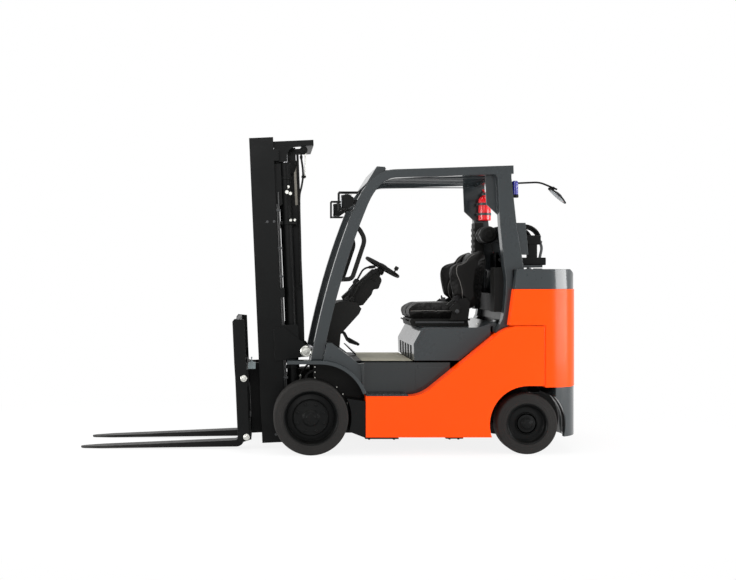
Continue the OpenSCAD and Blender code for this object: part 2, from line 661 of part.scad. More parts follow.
// Seat: base with slides and hip wings, cushion, and the back with its forward wings
seat_y = seat_w / 2;
wing_w = 75;
module seat_frame() color(BLACK) {
    slab([[-800, hood_z + run_gap], [-790, hood_z + 40], [-800, 1002], [-1240, 1002],
        [-1250, hood_z + run_gap]], 20 - seat_y, seat_w - 40);
    both_sides() {
        slab(concat([[-1236, 1003], [-1252, 1130]], bend([-1225, 1165], [-1150, 1165], [-1128, 1110], 5),
            [[-1100, 1003]]), seat_y, 26);
        block([-1250, seat_y - 60, 990], [-1090, seat_y + 26, 1003]);
    }
}
module seat_cushion() color(BLACK) slab(concat([[-1190, 1003], [-1190, 1100], [-1100, 1116], [-860, 1110]],
    bend([-810, 1108], [-762, 1104], [-764, 1050], 5), [[-782, 1003]]), 4 - seat_y, seat_w - 8);
module seat_back() color(BLACK) {
    slab(concat([[-1195, 1090], [-1205, 1180], [-1290, 1470]],
        bend([-1318, 1540], [-1345, 1560], [-1372, 1520], 5),
        [[-1384, 1480], [-1362, 1350], [-1332, 1114], [-1250, 1066], [-1195, 1066]]), 1 - seat_y, seat_w - 2);
    both_sides() slab(concat([[-1194.7, 1120], [-1118, 1180]],
        bend([-1094, 1330], [-1080, 1425], [-1150, 1442], 6),
        bend([-1200, 1470], [-1270, 1540], [-1330, 1534], 5),
        [[-1360, 1400], [-1330, 1140]]), seat_y - wing_w, wing_w);
}

// Tilt cylinders, drawn along the line between their pins
tilt_eye = [tilt_front[0] * cos(rest_tilt) + (tilt_front[1] - front_r) * sin(rest_tilt),
    front_r + (tilt_front[1] - front_r) * cos(rest_tilt) - tilt_front[0] * sin(rest_tilt)];
tilt_span = norm(tilt_eye - tilt_rear);
tilt_angle = atan2(tilt_eye[1] - tilt_rear[1], tilt_eye[0] - tilt_rear[0]);
tilt_barrel_l = 430;
tilt_rod_d = 44;
tilt_rod_x = 165;
module along_tilt() translate([tilt_rear[0], tilt_y, tilt_rear[1]]) rotate([0, -tilt_angle, 0]) children();
module tilt_barrels() color(BLACK) both_sides() along_tilt() difference() {
    union() {
        rotate([90, 0, 0]) cylinder(d = 62, h = eye_w, center = true);
        block([10, -eye_w / 2, -26], [50, eye_w / 2, 26]);
        translate([46, 0, 0]) rotate([0, 90, 0]) cylinder(d = 66, h = tilt_barrel_l - 46);
    }
    rotate([90, 0, 0]) cylinder(d = tilt_pin_d + 2 * run_gap, h = 100, center = true);
    translate([80, 0, 0]) rotate([0, 90, 0]) cylinder(d = tilt_rod_d + 2 * run_gap, h = tilt_barrel_l);
}
module tilt_rods() color(STEEL) both_sides() along_tilt() difference() {
    union() {
        translate([tilt_rod_x, 0, 0]) rotate([0, 90, 0])
            cylinder(d = tilt_rod_d, h = tilt_span - tilt_rod_x - 56);
        block([tilt_span - 57, -eye_w / 2, -21], [tilt_span - 30, eye_w / 2, 21]);
        translate([tilt_span, 0, 0]) rotate([90, 0, 0]) cylinder(d = 78, h = eye_w, center = true);
    }
    translate([tilt_span, 0, 0]) rotate([90, 0, 0]) cylinder(d = tilt_pin_d + 16, h = 100, center = true);
}

// Mast rails are channels: web and two flanges, each stage inside the last
rail_front = rail_x + rail_depth;
module rail(y_in, y_out, web, x0, x1, z0, z1) {
    block([x0, y_in, z0], [x0 + rail_t, y_out, z1]);
    block([x1 - rail_t, y_in, z0], [x1, y_out, z1]);
    block([x0, web, z0], [x1, web + rail_t, z1]);
}
outer_in = mast_w / 2 - rail_w;
middle_out = outer_in - slide_gap;
middle_in = middle_out - rail_w + 3;
inner_out = middle_in - slide_gap;
inner_in = inner_out - rail_w + 3;
cross_x = cylinder_x + lift_barrel_d / 2 + 1;
cross_t = 15;
ring_y = 150;
ring_w = 65;

outer_ties = [[rail_z + 12, 420], [1180, 1250], [rail_top - 184, rail_top - 94]];
function ear_outline(x, z, top) = concat([[x, z], [x, top], [rail_x - 20, top]], arc(tilt_front, 40, 120, 280));

module outer_rails() color(BLACK) leaning() {
    both_sides() {
        rail(outer_in, mast_w / 2, mast_w / 2 - rail_t, rail_x, rail_front, rail_z, rail_top);
        for (z = outer_ties)
            block([cross_x, mast_w / 2 - 38, z[0]], [rail_x + 1, mast_w / 2, z[1]]);
        // Bearing rings on the drive axle
        difference() {
            union() {
                across(0, front_r, ring_y, ring_w, 178);
                slab([[0, front_r - 89], [cross_x + 1, 90], [cross_x + 1, 410], [0, front_r + 89]],
                    ring_y, ring_w);
            }
            across(0, front_r, ring_y - 1, ring_w + 2, axle_d + 2 * run_gap);
        }
        // Ears for the tilt cylinders
        slab(ear_outline(rail_x + 60, 690, 950), mast_w / 2, ear_t + 2);
        slab(ear_outline(rail_x + 1, 700, 900), tilt_y - ear_span / 2 + 1, ear_t - 1);
        across(tilt_front[0], tilt_front[1], 312, mast_w / 2 - 312 + ear_t, tilt_pin_d);
        // Shelf under a lift cylinder and the anchor of a stage chain
        block([cylinder_x - 40, cylinder_y - 40, 92], [cross_x + 1, cylinder_y + 40, 110]);
        block([14, 186, 1226], [cross_x + 1, 220, 1246]);
    }
    for (z = outer_ties)
        block([cross_x, -mast_w / 2, z[0]], [cross_x + cross_t, mast_w / 2, z[1]]);
}

lift_rod_d = 50;
lift_barrel_top = rail_top - 194;
module at_cylinder() leaning() both_sides() translate([cylinder_x, cylinder_y, 0]) children();
module lift_barrels() color(BLACK) at_cylinder() difference() {
    union() {
        translate([0, 0, 110]) cylinder(d = lift_barrel_d, h = lift_barrel_top - 110);
        translate([0, 0, lift_barrel_top - 60]) cylinder(d = lift_barrel_d + 1.5, h = 60);
    }
    translate([0, 0, 130]) cylinder(d = lift_rod_d + 2 * run_gap, h = mast_h);
}

// Middle stage: rails, rear cross members and the bowed top tie over the lift cylinders
tie_x = -125;
tie_h = 44;
tie_top = rail_top - 26;
middle_x0 = rail_x + 5;
sheave_x = 75;
sheave_z = rail_top - 224;
sheave_r = 48;
roller_x = rail_x + rail_depth / 2;
roller_d = rail_depth - 2 * rail_t - 2 * run_gap;
module middle_rails() color(BLACK) leaning() {
    both_sides() {
        rail(middle_in, middle_out, middle_in + 20, middle_x0, rail_front - 5, rail_z, rail_top);
        block([tie_x, middle_in, tie_top - tie_h], [middle_x0 + 1, middle_out, tie_top]);
        // Hanger and sheave of a stage chain
        block([sheave_x - 20, 176, sheave_z - 20], [sheave_x + 20, 186, tie_top]);
        block([sheave_x - 20, 176, tie_top - tie_h], [sheave_x + 20, middle_in + 1, tie_top]);
        across(sheave_x, sheave_z, 185, 32, 2 * sheave_r - 14);
    }
    block([tie_x, -middle_out, tie_top - tie_h], [tie_x + 55, middle_out, tie_top]);
    for (z = [[80, 180], [1100, 1170]])
        block([middle_x0 - 17, -middle_out, z[0]], [middle_x0 + 1, middle_out, z[1]]);
    // Rollers that run in the outer rails
    both_sides() {
        across(roller_x, rail_z + 110, middle_in + 20, mast_w / 2 - rail_t - 4 - middle_in - 20, 40);
        across(roller_x, rail_z + 110, outer_in + 2, rail_w - rail_t - 8, roller_d);
    }
}

module lift_rods() color(STEEL) at_cylinder()
    translate([0, 0, 150]) cylinder(d = lift_rod_d, h = tie_top - tie_h - 150 - run_gap);

// Leaf chains, drawn as scalloped bands along the line of their pins
chain_step = 25;
chain_w = 26;
function straight(p, q) = let (n = ceil(norm(q - p) / chain_step)) [for (i = [0:n]) p + (q - p) * i / n];
function scalloped(p) = concat(
    [for (i = [0:len(p) - 1]) p[i] + (i % 2 == 0 ? 8 : 5) * normal_at(p, i)],
    [for (i = [len(p) - 1:-1:0]) p[i] - (i % 2 == 0 ? 8 : 5) * normal_at(p, i)]
);
module stage_chains() color(STEEL) leaning() both_sides() slab(scalloped(concat(
    straight([sheave_x - sheave_r - 2, 1247], [sheave_x - sheave_r - 2, sheave_z - 1]),
    [for (a = [180:-24:0]) [sheave_x, sheave_z] + (sheave_r + 2) * [cos(a), sin(a)]],
    straight([sheave_x + sheave_r + 2, sheave_z - 25], [sheave_x + sheave_r + 2, sheave_z - 90])
)), 188, chain_w);

// Inner stage: rails with cross members between them
inner_x0 = rail_x + 8;
module inner_rails() color(BLACK) leaning() {
    both_sides() {
        rail(inner_in, inner_out, inner_out - rail_t, inner_x0, rail_front - 8, rail_z, rail_top);
        across(roller_x, rail_z + 110, inner_out - 4, 24, 40);
        across(roller_x, rail_z + 110, middle_in + 1, 17, roller_d - 10);
    }
    for (z = [[84, 184], [1200, 1270], [rail_top - 90, rail_top]])
        block([inner_x0, -inner_in - 1, z[0]], [inner_x0 + 20, inner_in + 1, z[1]]);
    block([inner_x0, -60, 84], [head_x + 45, 60, 109]);
}

// Free-lift cylinder in the middle of the inner stage
head_x = 300;
head_rod_d = 54;
module free_lift_barrel() color(BLACK) leaning() {
    difference() {
        translate([head_x, 0, 109 + run_gap]) cylinder(d = 90, h = head_z - 130 - 109);
        translate([head_x, 0, 130]) cylinder(d = head_rod_d + 2 * run_gap, h = head_z);
    }
    both_sides() block([head_x - 64, 44, 398], [head_x + 8, 94, 418]);
}

// Rod, crosshead and sheaves of the free-lift cylinder
module free_lift_head() color(BLACK) leaning() {
    translate([head_x, 0, 150]) cylinder(d = head_rod_d, h = head_z - 150);
    block([head_x - 28, -64, head_z - 30], [head_x + 28, 64, head_z + 40]);
    both_sides() {
        across(head_x, head_z, 60, 40, 30);
        across(head_x, head_z, 65, 28, 2 * sheave_r - 14);
    }
}
module carriage_chains() color(STEEL) leaning() both_sides() slab(scalloped(concat(
    straight([head_x - sheave_r - 2, 419], [head_x - sheave_r - 2, head_z - 1]),
    [for (a = [180:-24:0]) [head_x, head_z] + (sheave_r + 2) * [cos(a), sin(a)]],
    straight([head_x + sheave_r + 2, head_z - 25], [head_x + sheave_r + 2, carriage_top + 1])
)), 66, chain_w);

// Carriage: two bars, roller plates and the chain anchors
carriage_y = carriage_w / 2;
bar_x = shank_x - 58;
module carriage() color(BLACK) leaning() {
    for (z = [carriage_z, carriage_top - carriage_bar_h])
        block([bar_x, -carriage_y, z], [shank_x - run_gap, carriage_y, z + carriage_bar_h]);
    both_sides() {
        block([inner_x0 + 30, inner_in - 30, carriage_z], [bar_x + 1, inner_in - 12, carriage_top + 20]);
        for (z = [carriage_z + 80, carriage_top - 60]) {
            across(roller_x, z, inner_in - 13, rail_w - rail_t - 2, 40);
            across(roller_x, z, inner_in + 1, rail_w - rail_t - 10, roller_d - 16);
        }
        block([340, 60, carriage_top - 40], [bar_x + 1, inner_in - 12, carriage_top]);
        block([bar_x + 10, 200, carriage_z + 20], [bar_x + 40, 240, carriage_top - 20]);
    }
}

// Load backrest: side plates, top rail and upright bars
back_z = 100;
back_top = back_z + backrest_h;
module load_backrest() color(BLACK) leaning() {
    both_sides() slab([[shank_x - 44, back_z + 20], [shank_x - 44, back_top - 10], [shank_x + 30, back_top],
        [shank_x + 46, back_top - 20], [shank_x + 46, 700], [shank_x + 32, back_z]],
        carriage_y + run_gap, 16);
    block([shank_x - 4, -carriage_y - 1, back_top - 46], [shank_x + 26, carriage_y + 1, back_top - 6]);
    block([shank_x - 4, -carriage_y - 1, 690], [shank_x + 26, carriage_y + 1, 726]);
    for (i = [-3:3]) let (y = i * carriage_w / 8)
        block([shank_x, y - 11, 700], [shank_x + 20, y + 11, back_top - 20]);
}

// Fork: blade, heel and shank in one side outline, with hooks over the carriage bars
tip_x = blade_x + fork_l;
point_l = 170;
point_y = 39;
module fork(side) color(BLACK) leaning() translate([0, side * fork_pitch / 2 - fork_w / 2, 0]) {
    intersection() {
        slab(concat(
            [[tip_x, blade_z], [tip_x - 6, blade_z - tip_t]],
            arc([shank_x + 60, blade_z - fork_t + 60], 60, 270, 180, 6),
            [[shank_x, carriage_top + 30], [blade_x - 12, carriage_top + 30], [blade_x, carriage_top]],
            arc([blade_x + 22, blade_z + 22], 22, 180, 270, 5)
        ), 0, fork_w);
        translate([0, fork_w / 2, 0]) linear_extrude(carriage_top + 100) polygon([
            [shank_x - 1, point_y - fork_w], [tip_x - 2 * point_l + 30, point_y - fork_w],
            [tip_x - 30, -point_y], [tip_x + 1, 20 - point_y],
            [tip_x + 1, point_y - 20], [tip_x - 30, point_y],
            [tip_x - 2 * point_l + 30, fork_w - point_y], [shank_x - 1, fork_w - point_y]
        ]);
    }
    block([shank_x - 40, 10, carriage_top + run_gap], [shank_x + 1, fork_w - 10, carriage_top + 30]);
    block([shank_x - 40, 10, carriage_z - 26], [shank_x + 1, fork_w - 10, carriage_z - run_gap]);
}

placed() frame();
placed() wheel_liners();
placed() front_axle();
placed() steer_axle();
placed() engine_block();
placed() floor_plate();
placed() step_panels();
placed() front_fenders();
placed() dash_cowl();
placed() controls();
placed() steering_wheel();
placed() guard_sides();
placed() guard_roof();
placed() grab_handles();
placed() work_lamps();
placed() rear_lamps();
placed() air_intake();
placed() fire_extinguisher();
placed() counterweight();
placed() counterweight_covers();
placed() rear_grille();
placed() drawbar_jaw();
placed() gas_bracket();
placed() gas_straps();
placed() engine_hood();
placed() seat_frame();
placed() seat_cushion();
placed() seat_back();
placed() tilt_barrels();
placed() tilt_rods();
placed() outer_rails();
placed() lift_barrels();
placed() middle_rails();
placed() lift_rods();
placed() stage_chains();
placed() inner_rails();
placed() free_lift_barrel();
placed() free_lift_head();
placed() carriage_chains();
placed() carriage();
placed() load_backrest();
placed() fork(1);  // fork_left
placed() fork(-1);  // fork_right
placed() front_tyre(1);  // front_tyre_left
placed() front_wheel(1);  // front_wheel_left
placed() front_tyre(-1);  // front_tyre_right
placed() front_wheel(-1);  // front_wheel_right
placed() knuckle(1);  // knuckle_left
placed() knuckle(-1);  // knuckle_right
placed() rear_tyre(1);  // rear_tyre_left
placed() rear_wheel(1);  // rear_wheel_left
placed() rear_tyre(-1);  // rear_tyre_right
placed() rear_wheel(-1);  // rear_wheel_right
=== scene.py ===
"""Looks of the counterbalanced forklift truck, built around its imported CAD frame. Metres, row frame."""
import math

import bmesh
import bpy
import numpy as np
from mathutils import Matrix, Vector
from mathutils.bvhtree import BVHTree


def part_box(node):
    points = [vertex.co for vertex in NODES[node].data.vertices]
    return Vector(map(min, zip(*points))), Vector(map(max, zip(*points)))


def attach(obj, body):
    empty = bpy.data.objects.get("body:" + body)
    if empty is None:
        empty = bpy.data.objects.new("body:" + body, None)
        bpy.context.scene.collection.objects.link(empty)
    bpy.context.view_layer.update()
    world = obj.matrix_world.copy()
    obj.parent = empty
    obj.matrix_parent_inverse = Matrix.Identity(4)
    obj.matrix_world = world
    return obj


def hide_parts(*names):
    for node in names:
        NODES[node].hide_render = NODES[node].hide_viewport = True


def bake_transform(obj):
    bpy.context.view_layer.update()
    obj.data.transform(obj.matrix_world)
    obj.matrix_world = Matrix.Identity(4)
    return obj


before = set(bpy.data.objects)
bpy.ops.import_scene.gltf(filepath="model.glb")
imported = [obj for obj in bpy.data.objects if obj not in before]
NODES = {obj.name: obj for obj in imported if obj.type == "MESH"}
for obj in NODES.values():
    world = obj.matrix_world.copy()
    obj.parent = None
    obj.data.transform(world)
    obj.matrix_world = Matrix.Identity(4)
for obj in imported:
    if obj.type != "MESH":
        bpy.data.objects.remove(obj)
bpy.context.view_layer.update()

# Places in millimetres from the front axle, as in the part's source
ORIGIN_X = 139.371
FRONT_R = 279.5
REAR_R = 228.5
REAR_X = -1620.0
TAIL_X = -2049.0
FLOOR_Z = 690.0
STEP_Z = 440.0
CAP_TOP = 1387.0
GUARD_Y = 470
LIFT_X, LIFT_Y = 106, 265
STAGE_X, STAGE_Y, STAGE_TOP = 75, 201, 2190
HEAD_X, HEAD_Y, HEAD_TOP = 300, 79, 1450
CHAIN_R = 50
HOSE_Y = (236, 262)
REST_TILT = math.radians(2.5)
COLUMN_LEAN = math.radians(31)

SIDES = (1, -1)
SIDE_NAMES = ((1, "left"), (-1, "right"))
AHEAD, Y, UP = Vector((1, 0, 0)), Vector((0, 1, 0)), Vector((0, 0, 1))


def P(x, y, z):
    """A point given in millimetres from the front axle, in metres in the row frame."""
    return Vector(((x + ORIGIN_X) / 1000, y / 1000, z / 1000))


def MAST(x, y, z):
    """A point on the upright mast, in metres in the row frame with the mast at its parked lean."""
    c, s = math.cos(REST_TILT), math.sin(REST_TILT)
    return P(x * c + (z - FRONT_R) * s, y, FRONT_R + (z - FRONT_R) * c - x * s)


# Camera and lamps
scene = bpy.context.scene
scene.view_settings.view_transform = "Standard"

cam = bpy.data.cameras.new("camera")
cam.sensor_fit = "HORIZONTAL"
cam.sensor_width = 36
cam.lens = 49.45
cam.shift_x = 0.136
cam.shift_y = -0.0177
camera = bpy.data.objects.new("camera", cam)
camera.location = (0.459, 8.12, 1.328)
camera.rotation_euler = (math.radians(90), 0, math.radians(180))
scene.collection.objects.link(camera)
scene.camera = camera


def area_light(name, place, target, size, power):
    lamp = bpy.data.lights.new(name, "AREA")
    lamp.shape = "RECTANGLE"
    lamp.size, lamp.size_y = size
    lamp.energy = power
    o = bpy.data.objects.new(name, lamp)
    o.location = place
    o.rotation_euler = (Vector(target) - Vector(place)).to_track_quat("-Z", "Y").to_euler()
    scene.collection.objects.link(o)


area_light("overhead", (0.2, 0.3, 5.6), (0, 0, 0), (6.0, 4.0), 190)
area_light("camera_side", (1.8, 7.5, 3.6), (-0.1, 0, 0.8), (5.0, 2.6), 160)
area_light("rear_side", (-5.6, 2.4, 1.2), (-1.5, 0, 0.9), (4.0, 1.8), 270)
area_light("front_side", (6.5, 1.8, 1.4), (0.0, 0, 0.9), (4.0, 2.2), 480)


class Graph:
    """A short way to write shader nodes: each call returns the new node's output."""

    def __init__(self, tree):
        self.tree = tree
        tree.nodes.clear()

    def node(self, kind, **settings):
        n = self.tree.nodes.new(kind)
        for key, value in settings.items():
            setattr(n, key, value)
        return n

    def link(self, source, socket):
        if isinstance(source, bpy.types.NodeSocket):
            self.tree.links.new(source, socket)
        elif source is not None:
            socket.default_value = source

    def math(self, op, a, b=None, clamp=False):
        n = self.node("ShaderNodeMath", operation=op, use_clamp=clamp)
        self.link(a, n.inputs[0])
        self.link(b, n.inputs[1])
        return n.outputs[0]

    def vector_math(self, op, a, b=None):
        n = self.node("ShaderNodeVectorMath", operation=op)
        self.link(a, n.inputs[0])
        self.link(b, n.inputs[1])
        return n.outputs["Value"]

    def mix(self, fac, a, b):
        n = self.node("ShaderNodeMix", data_type="RGBA")
        self.link(fac, n.inputs[0])
        self.link(a, n.inputs[6])
        self.link(b, n.inputs[7])
        return n.outputs[2]

    def ramp(self, value, low, high, out_low=0.0, out_high=1.0):
        n = self.node("ShaderNodeMapRange")
        self.link(value, n.inputs[0])
        for i, x in enumerate((low, high, out_low, out_high)):
            n.inputs[i + 1].default_value = x
        return n.outputs[0]

    def noise(self, where, size, detail=3.0, rough=0.55):
        n = self.node("ShaderNodeTexNoise")
        self.link(where, n.inputs["Vector"])
        n.inputs["Scale"].default_value = 1 / size
        n.inputs["Detail"].default_value = detail
        n.inputs["Roughness"].default_value = rough
        return n.outputs["Fac"]

    def cells(self, where, size, feature="F1"):
        n = self.node("ShaderNodeTexVoronoi", feature=feature)
        self.link(where, n.inputs["Vector"])
        n.inputs["Scale"].default_value = 1 / size
        return n.outputs["Distance"]

    def stretched(self, where, scale):
        n = self.node("ShaderNodeMapping")
        self.link(where, n.inputs["Vector"])
        n.inputs["Scale"].default_value = scale
        return n.outputs[0]

    def bump(self, height, distance, normal=None):
        n = self.node("ShaderNodeBump")
        n.inputs["Strength"].default_value = 1.0
        n.inputs["Distance"].default_value = distance
        self.link(height, n.inputs["Height"])
        self.link(normal, n.inputs["Normal"])
        return n.outputs[0]

    def seen(self):
        """1 for what the camera sees, also in mirrors and through glass, and 0 for light that bounces."""
        path = self.node("ShaderNodeLightPath").outputs
        direct = self.math("ADD", path["Is Camera Ray"], path["Is Glossy Ray"])
        return self.math("ADD", direct, path["Is Transmission Ray"], clamp=True)


def tone(rgb):
    """A colour given as sRGB 0 to 255, in linear values."""
    def lin(c):
        c /= 255
        return c / 12.92 if c <= 0.04045 else ((c + 0.055) / 1.055) ** 2.4
    return (*[lin(c) for c in rgb], 1.0)


def shade(rgb, k):
    return tuple(min(1.0, c * k) for c in rgb[:3]) + (1.0,)


# World and floor: white to the eye, a soft grey to the light
world = bpy.data.worlds.new("studio")
world.use_nodes = True
scene.world = world
g = Graph(world.node_tree)
background = g.node("ShaderNodeBackground")
g.link(g.mix(g.seen(), (0.50, 0.51, 0.53, 1), (1, 1, 1, 1)), background.inputs["Color"])
g.link(background.outputs[0], g.node("ShaderNodeOutputWorld").inputs[0])

bpy.ops.mesh.primitive_grid_add(x_subdivisions=8, y_subdivisions=8, size=60, location=(0, 0, 0))
floor = bpy.context.object
floor.name = "floor"
mat = bpy.data.materials.new("pale_floor")
mat.use_nodes = True
g = Graph(mat.node_tree)
where = g.node("ShaderNodeTexCoord").outputs["Object"]
far = g.math("MULTIPLY", g.ramp(g.vector_math("LENGTH", where), 2.0, 3.8, 0.86, 1.0), g.seen())
matt = g.node("ShaderNodeBsdfDiffuse")
g.link(g.mix(g.noise(where, 0.35), (0.90, 0.90, 0.885, 1), (0.93, 0.93, 0.92, 1)), matt.inputs["Color"])
white = g.node("ShaderNodeEmission")
both = g.node("ShaderNodeMixShader")
for i, source in enumerate((far, matt.outputs[0], white.outputs[0])):
    g.link(source, both.inputs[i])
g.link(both.outputs[0], g.node("ShaderNodeOutputMaterial").inputs[0])
floor.data.materials.append(mat)


# Materials
def material(name, rgb, rough, metal=0.0, spec=0.3, vary=0.08, patch=0.25, grain=None, depth=0.0002,
             kind="grain", wear=None, wear_at=0.6, edge=0.004, dust=0.0, dust_rgb=(150, 140, 125), coat=0.0,
             rough_vary=0.08, sheen=0.0, underbody_and_shade=None, arch_shade=None, scuff=None, rings=None, clear=0.0):
    """A procedural finish. Sizes in metres: patch of the colour's variation, grain of the bump."""
    mat = bpy.data.materials.new(name)
    mat.use_nodes = True
    g = Graph(mat.node_tree)
    where = g.node("ShaderNodeTexCoord").outputs["Object"]
    bsdf = g.node("ShaderNodeBsdfPrincipled")
    g.link(bsdf.outputs[0], g.node("ShaderNodeOutputMaterial").inputs[0])
    for socket, value in (("Metallic", metal), ("Specular IOR Level", spec), ("Coat Weight", coat),
                          ("Sheen Weight", sheen), ("Transmission Weight", clear), ("Coat Roughness", 0.08)):
        bsdf.inputs[socket].default_value = value
    base = tone(rgb)
    coarse = g.math("MULTIPLY", g.noise(where, patch, 4.0, 0.6), 0.65)
    level = g.math("ADD", coarse, g.math("MULTIPLY", g.noise(where, patch / 14, 2.0), 0.35))
    color = g.mix(g.ramp(level, 0.3, 0.7), shade(base, 1 - vary), shade(base, 1 + vary))
    roughness = g.ramp(level, 0.3, 0.7, max(0.02, rough - rough_vary), min(1.0, rough + rough_vary))
    normal = None
    xyz = g.node("ShaderNodeSeparateXYZ")
    g.link(where, xyz.inputs[0])
    across = g.math("ABSOLUTE", xyz.outputs[1])

    def from_axle(cx, cz):
        out = g.node("ShaderNodeCombineXYZ")
        g.link(g.math("SUBTRACT", xyz.outputs[0], cx), out.inputs[0])
        g.link(g.math("SUBTRACT", xyz.outputs[2], cz), out.inputs[2])
        return g.vector_math("LENGTH", out.outputs[0])

    # Painted shade: faces nearer the middle than half and ahead of x_min take the dark colour; on the frame
    # it is also its dark underbody paint
    if underbody_and_shade:
        dark, half, x_min = underbody_and_shade
        ahead = g.ramp(xyz.outputs[0], x_min - 0.001, x_min)
        shaded_zone = g.math("MULTIPLY", g.ramp(across, half - 0.001, half, 1.0, 0.0), ahead)
        color = g.mix(shaded_zone, color, tone(dark))
    # Painted shade inside the wheel arch: faces nearer the middle than half and within r of the axle go
    # near-black, rougher and without coat
    if arch_shade:
        dark, half, cx, cz, r = arch_shade
        near = g.ramp(from_axle(cx, cz), r, r + 0.001, 1.0, 0.0)
        shaded_zone = g.math("MULTIPLY", g.ramp(across, half - 0.001, half, 1.0, 0.0), near)
        color = g.mix(shaded_zone, color, tone(dark))
        roughness = g.math("ADD", roughness, g.math("MULTIPLY", shaded_zone, 0.6), clamp=True)
        g.link(g.ramp(shaded_zone, 0.0, 1.0, coat, 0.0), bsdf.inputs["Coat Weight"])
    if scuff:
        worn_rgb, x_from, x_to = scuff
        rubbed = g.ramp(g.noise(g.stretched(where, (0.25, 1.5, 1.5)), 0.05, 5.0, 0.7), 0.40, 0.75)
        rubbed = g.math("MULTIPLY", rubbed, g.ramp(xyz.outputs[0], x_from, x_to), clamp=True)
        color = g.mix(rubbed, color, tone(worn_rgb))
    if wear or dust or edge:
        soft = g.node("ShaderNodeBevel", samples=4)
        soft.inputs["Radius"].default_value = edge
        normal = soft.outputs[0]
        facing = g.node("ShaderNodeNewGeometry").outputs["Normal"]
        if wear:
            chips = g.ramp(g.noise(where, 0.012, 4.0, 0.7), wear_at, wear_at + 0.08)
            on_edge = g.ramp(g.vector_math("DOT_PRODUCT", normal, facing), 0.99, 0.86)
            worn = g.math("MULTIPLY", on_edge, chips, clamp=True)
            color = g.mix(worn, color, tone(wear))
            roughness = g.math("ADD", roughness, g.math("MULTIPLY", worn, 0.15), clamp=True)
        if dust:
            up = g.node("ShaderNodeSeparateXYZ")
            g.link(facing, up.inputs[0])
            cloud = g.ramp(g.noise(where, 0.08, 5.0, 0.65), 0.35, 0.75)
            lying = g.math("MULTIPLY", g.ramp(up.outputs[2], 0.2, 1.0, 0.15, 1.0), cloud)
            film = g.math("MULTIPLY", lying, dust, clamp=True)
            color = g.mix(film, color, tone(dust_rgb))
            roughness = g.math("ADD", roughness, g.math("MULTIPLY", film, 0.4), clamp=True)
    g.link(color, bsdf.inputs["Base Color"])
    g.link(roughness, bsdf.inputs["Roughness"])
    if rings:
        cx, cz, radii = rings
        radius = from_axle(cx, cz)
        relief = None
        for r, width, height in radii:
            ring = g.ramp(g.math("ABSOLUTE", g.math("SUBTRACT", radius, r)), 0.0, width, height, 0.0)
            relief = ring if relief is None else g.math("ADD", relief, ring)
        normal = g.bump(relief, 1.0, normal)
    if grain:
        if kind == "pebble":
            fine = g.math("MULTIPLY", g.noise(where, grain / 3), 0.4)
            height = g.math("ADD", g.cells(where, grain, "SMOOTH_F1"), fine)
        elif kind == "brushed":
            height = g.noise(g.stretched(where, (1, 1, 30)), grain, 2.0)
        elif kind == "weave":
            wave = g.node("ShaderNodeTexWave", wave_type="BANDS", bands_direction="DIAGONAL")
            g.link(where, wave.inputs["Vector"])
            wave.inputs["Scale"].default_value = 0.314 / grain
            height = wave.outputs["Fac"]
        else:
            height = g.noise(where, grain, 2.0)
        normal = g.bump(height, depth, normal)
    g.link(normal, bsdf.inputs["Normal"])
    return mat


# Rings on the tyres' sides: radius, width and height
FRONT_RINGS = [(0.262, 0.004, 0.0012), (0.222, 0.003, 0.0015), (0.243, 0.0015, 0.0008)]
REAR_RINGS = [(0.213, 0.004, 0.0012), (0.176, 0.003, 0.0015), (0.195, 0.0015, 0.0008)]
# UNDERBODY_SHADE_RGB is dark underbody paint on the frame's inner faces and painted shade between them and on
# the counterweight's front
ORANGE_RGB, GREY_RGB, UNDERBODY_SHADE_RGB = (241, 68, 2), (37, 42, 44), (14, 14, 15)
AXLE_X = {"front": P(0, 0, 0).x, "rear": P(REAR_X, 0, 0).x}
# Painted shade inside the rear wheel arches: near-black within the arch's radius of the steer axle
ARCH_SHADE = ((9, 9, 9), 0.53, AXLE_X["rear"], REAR_R / 1000, 0.292)

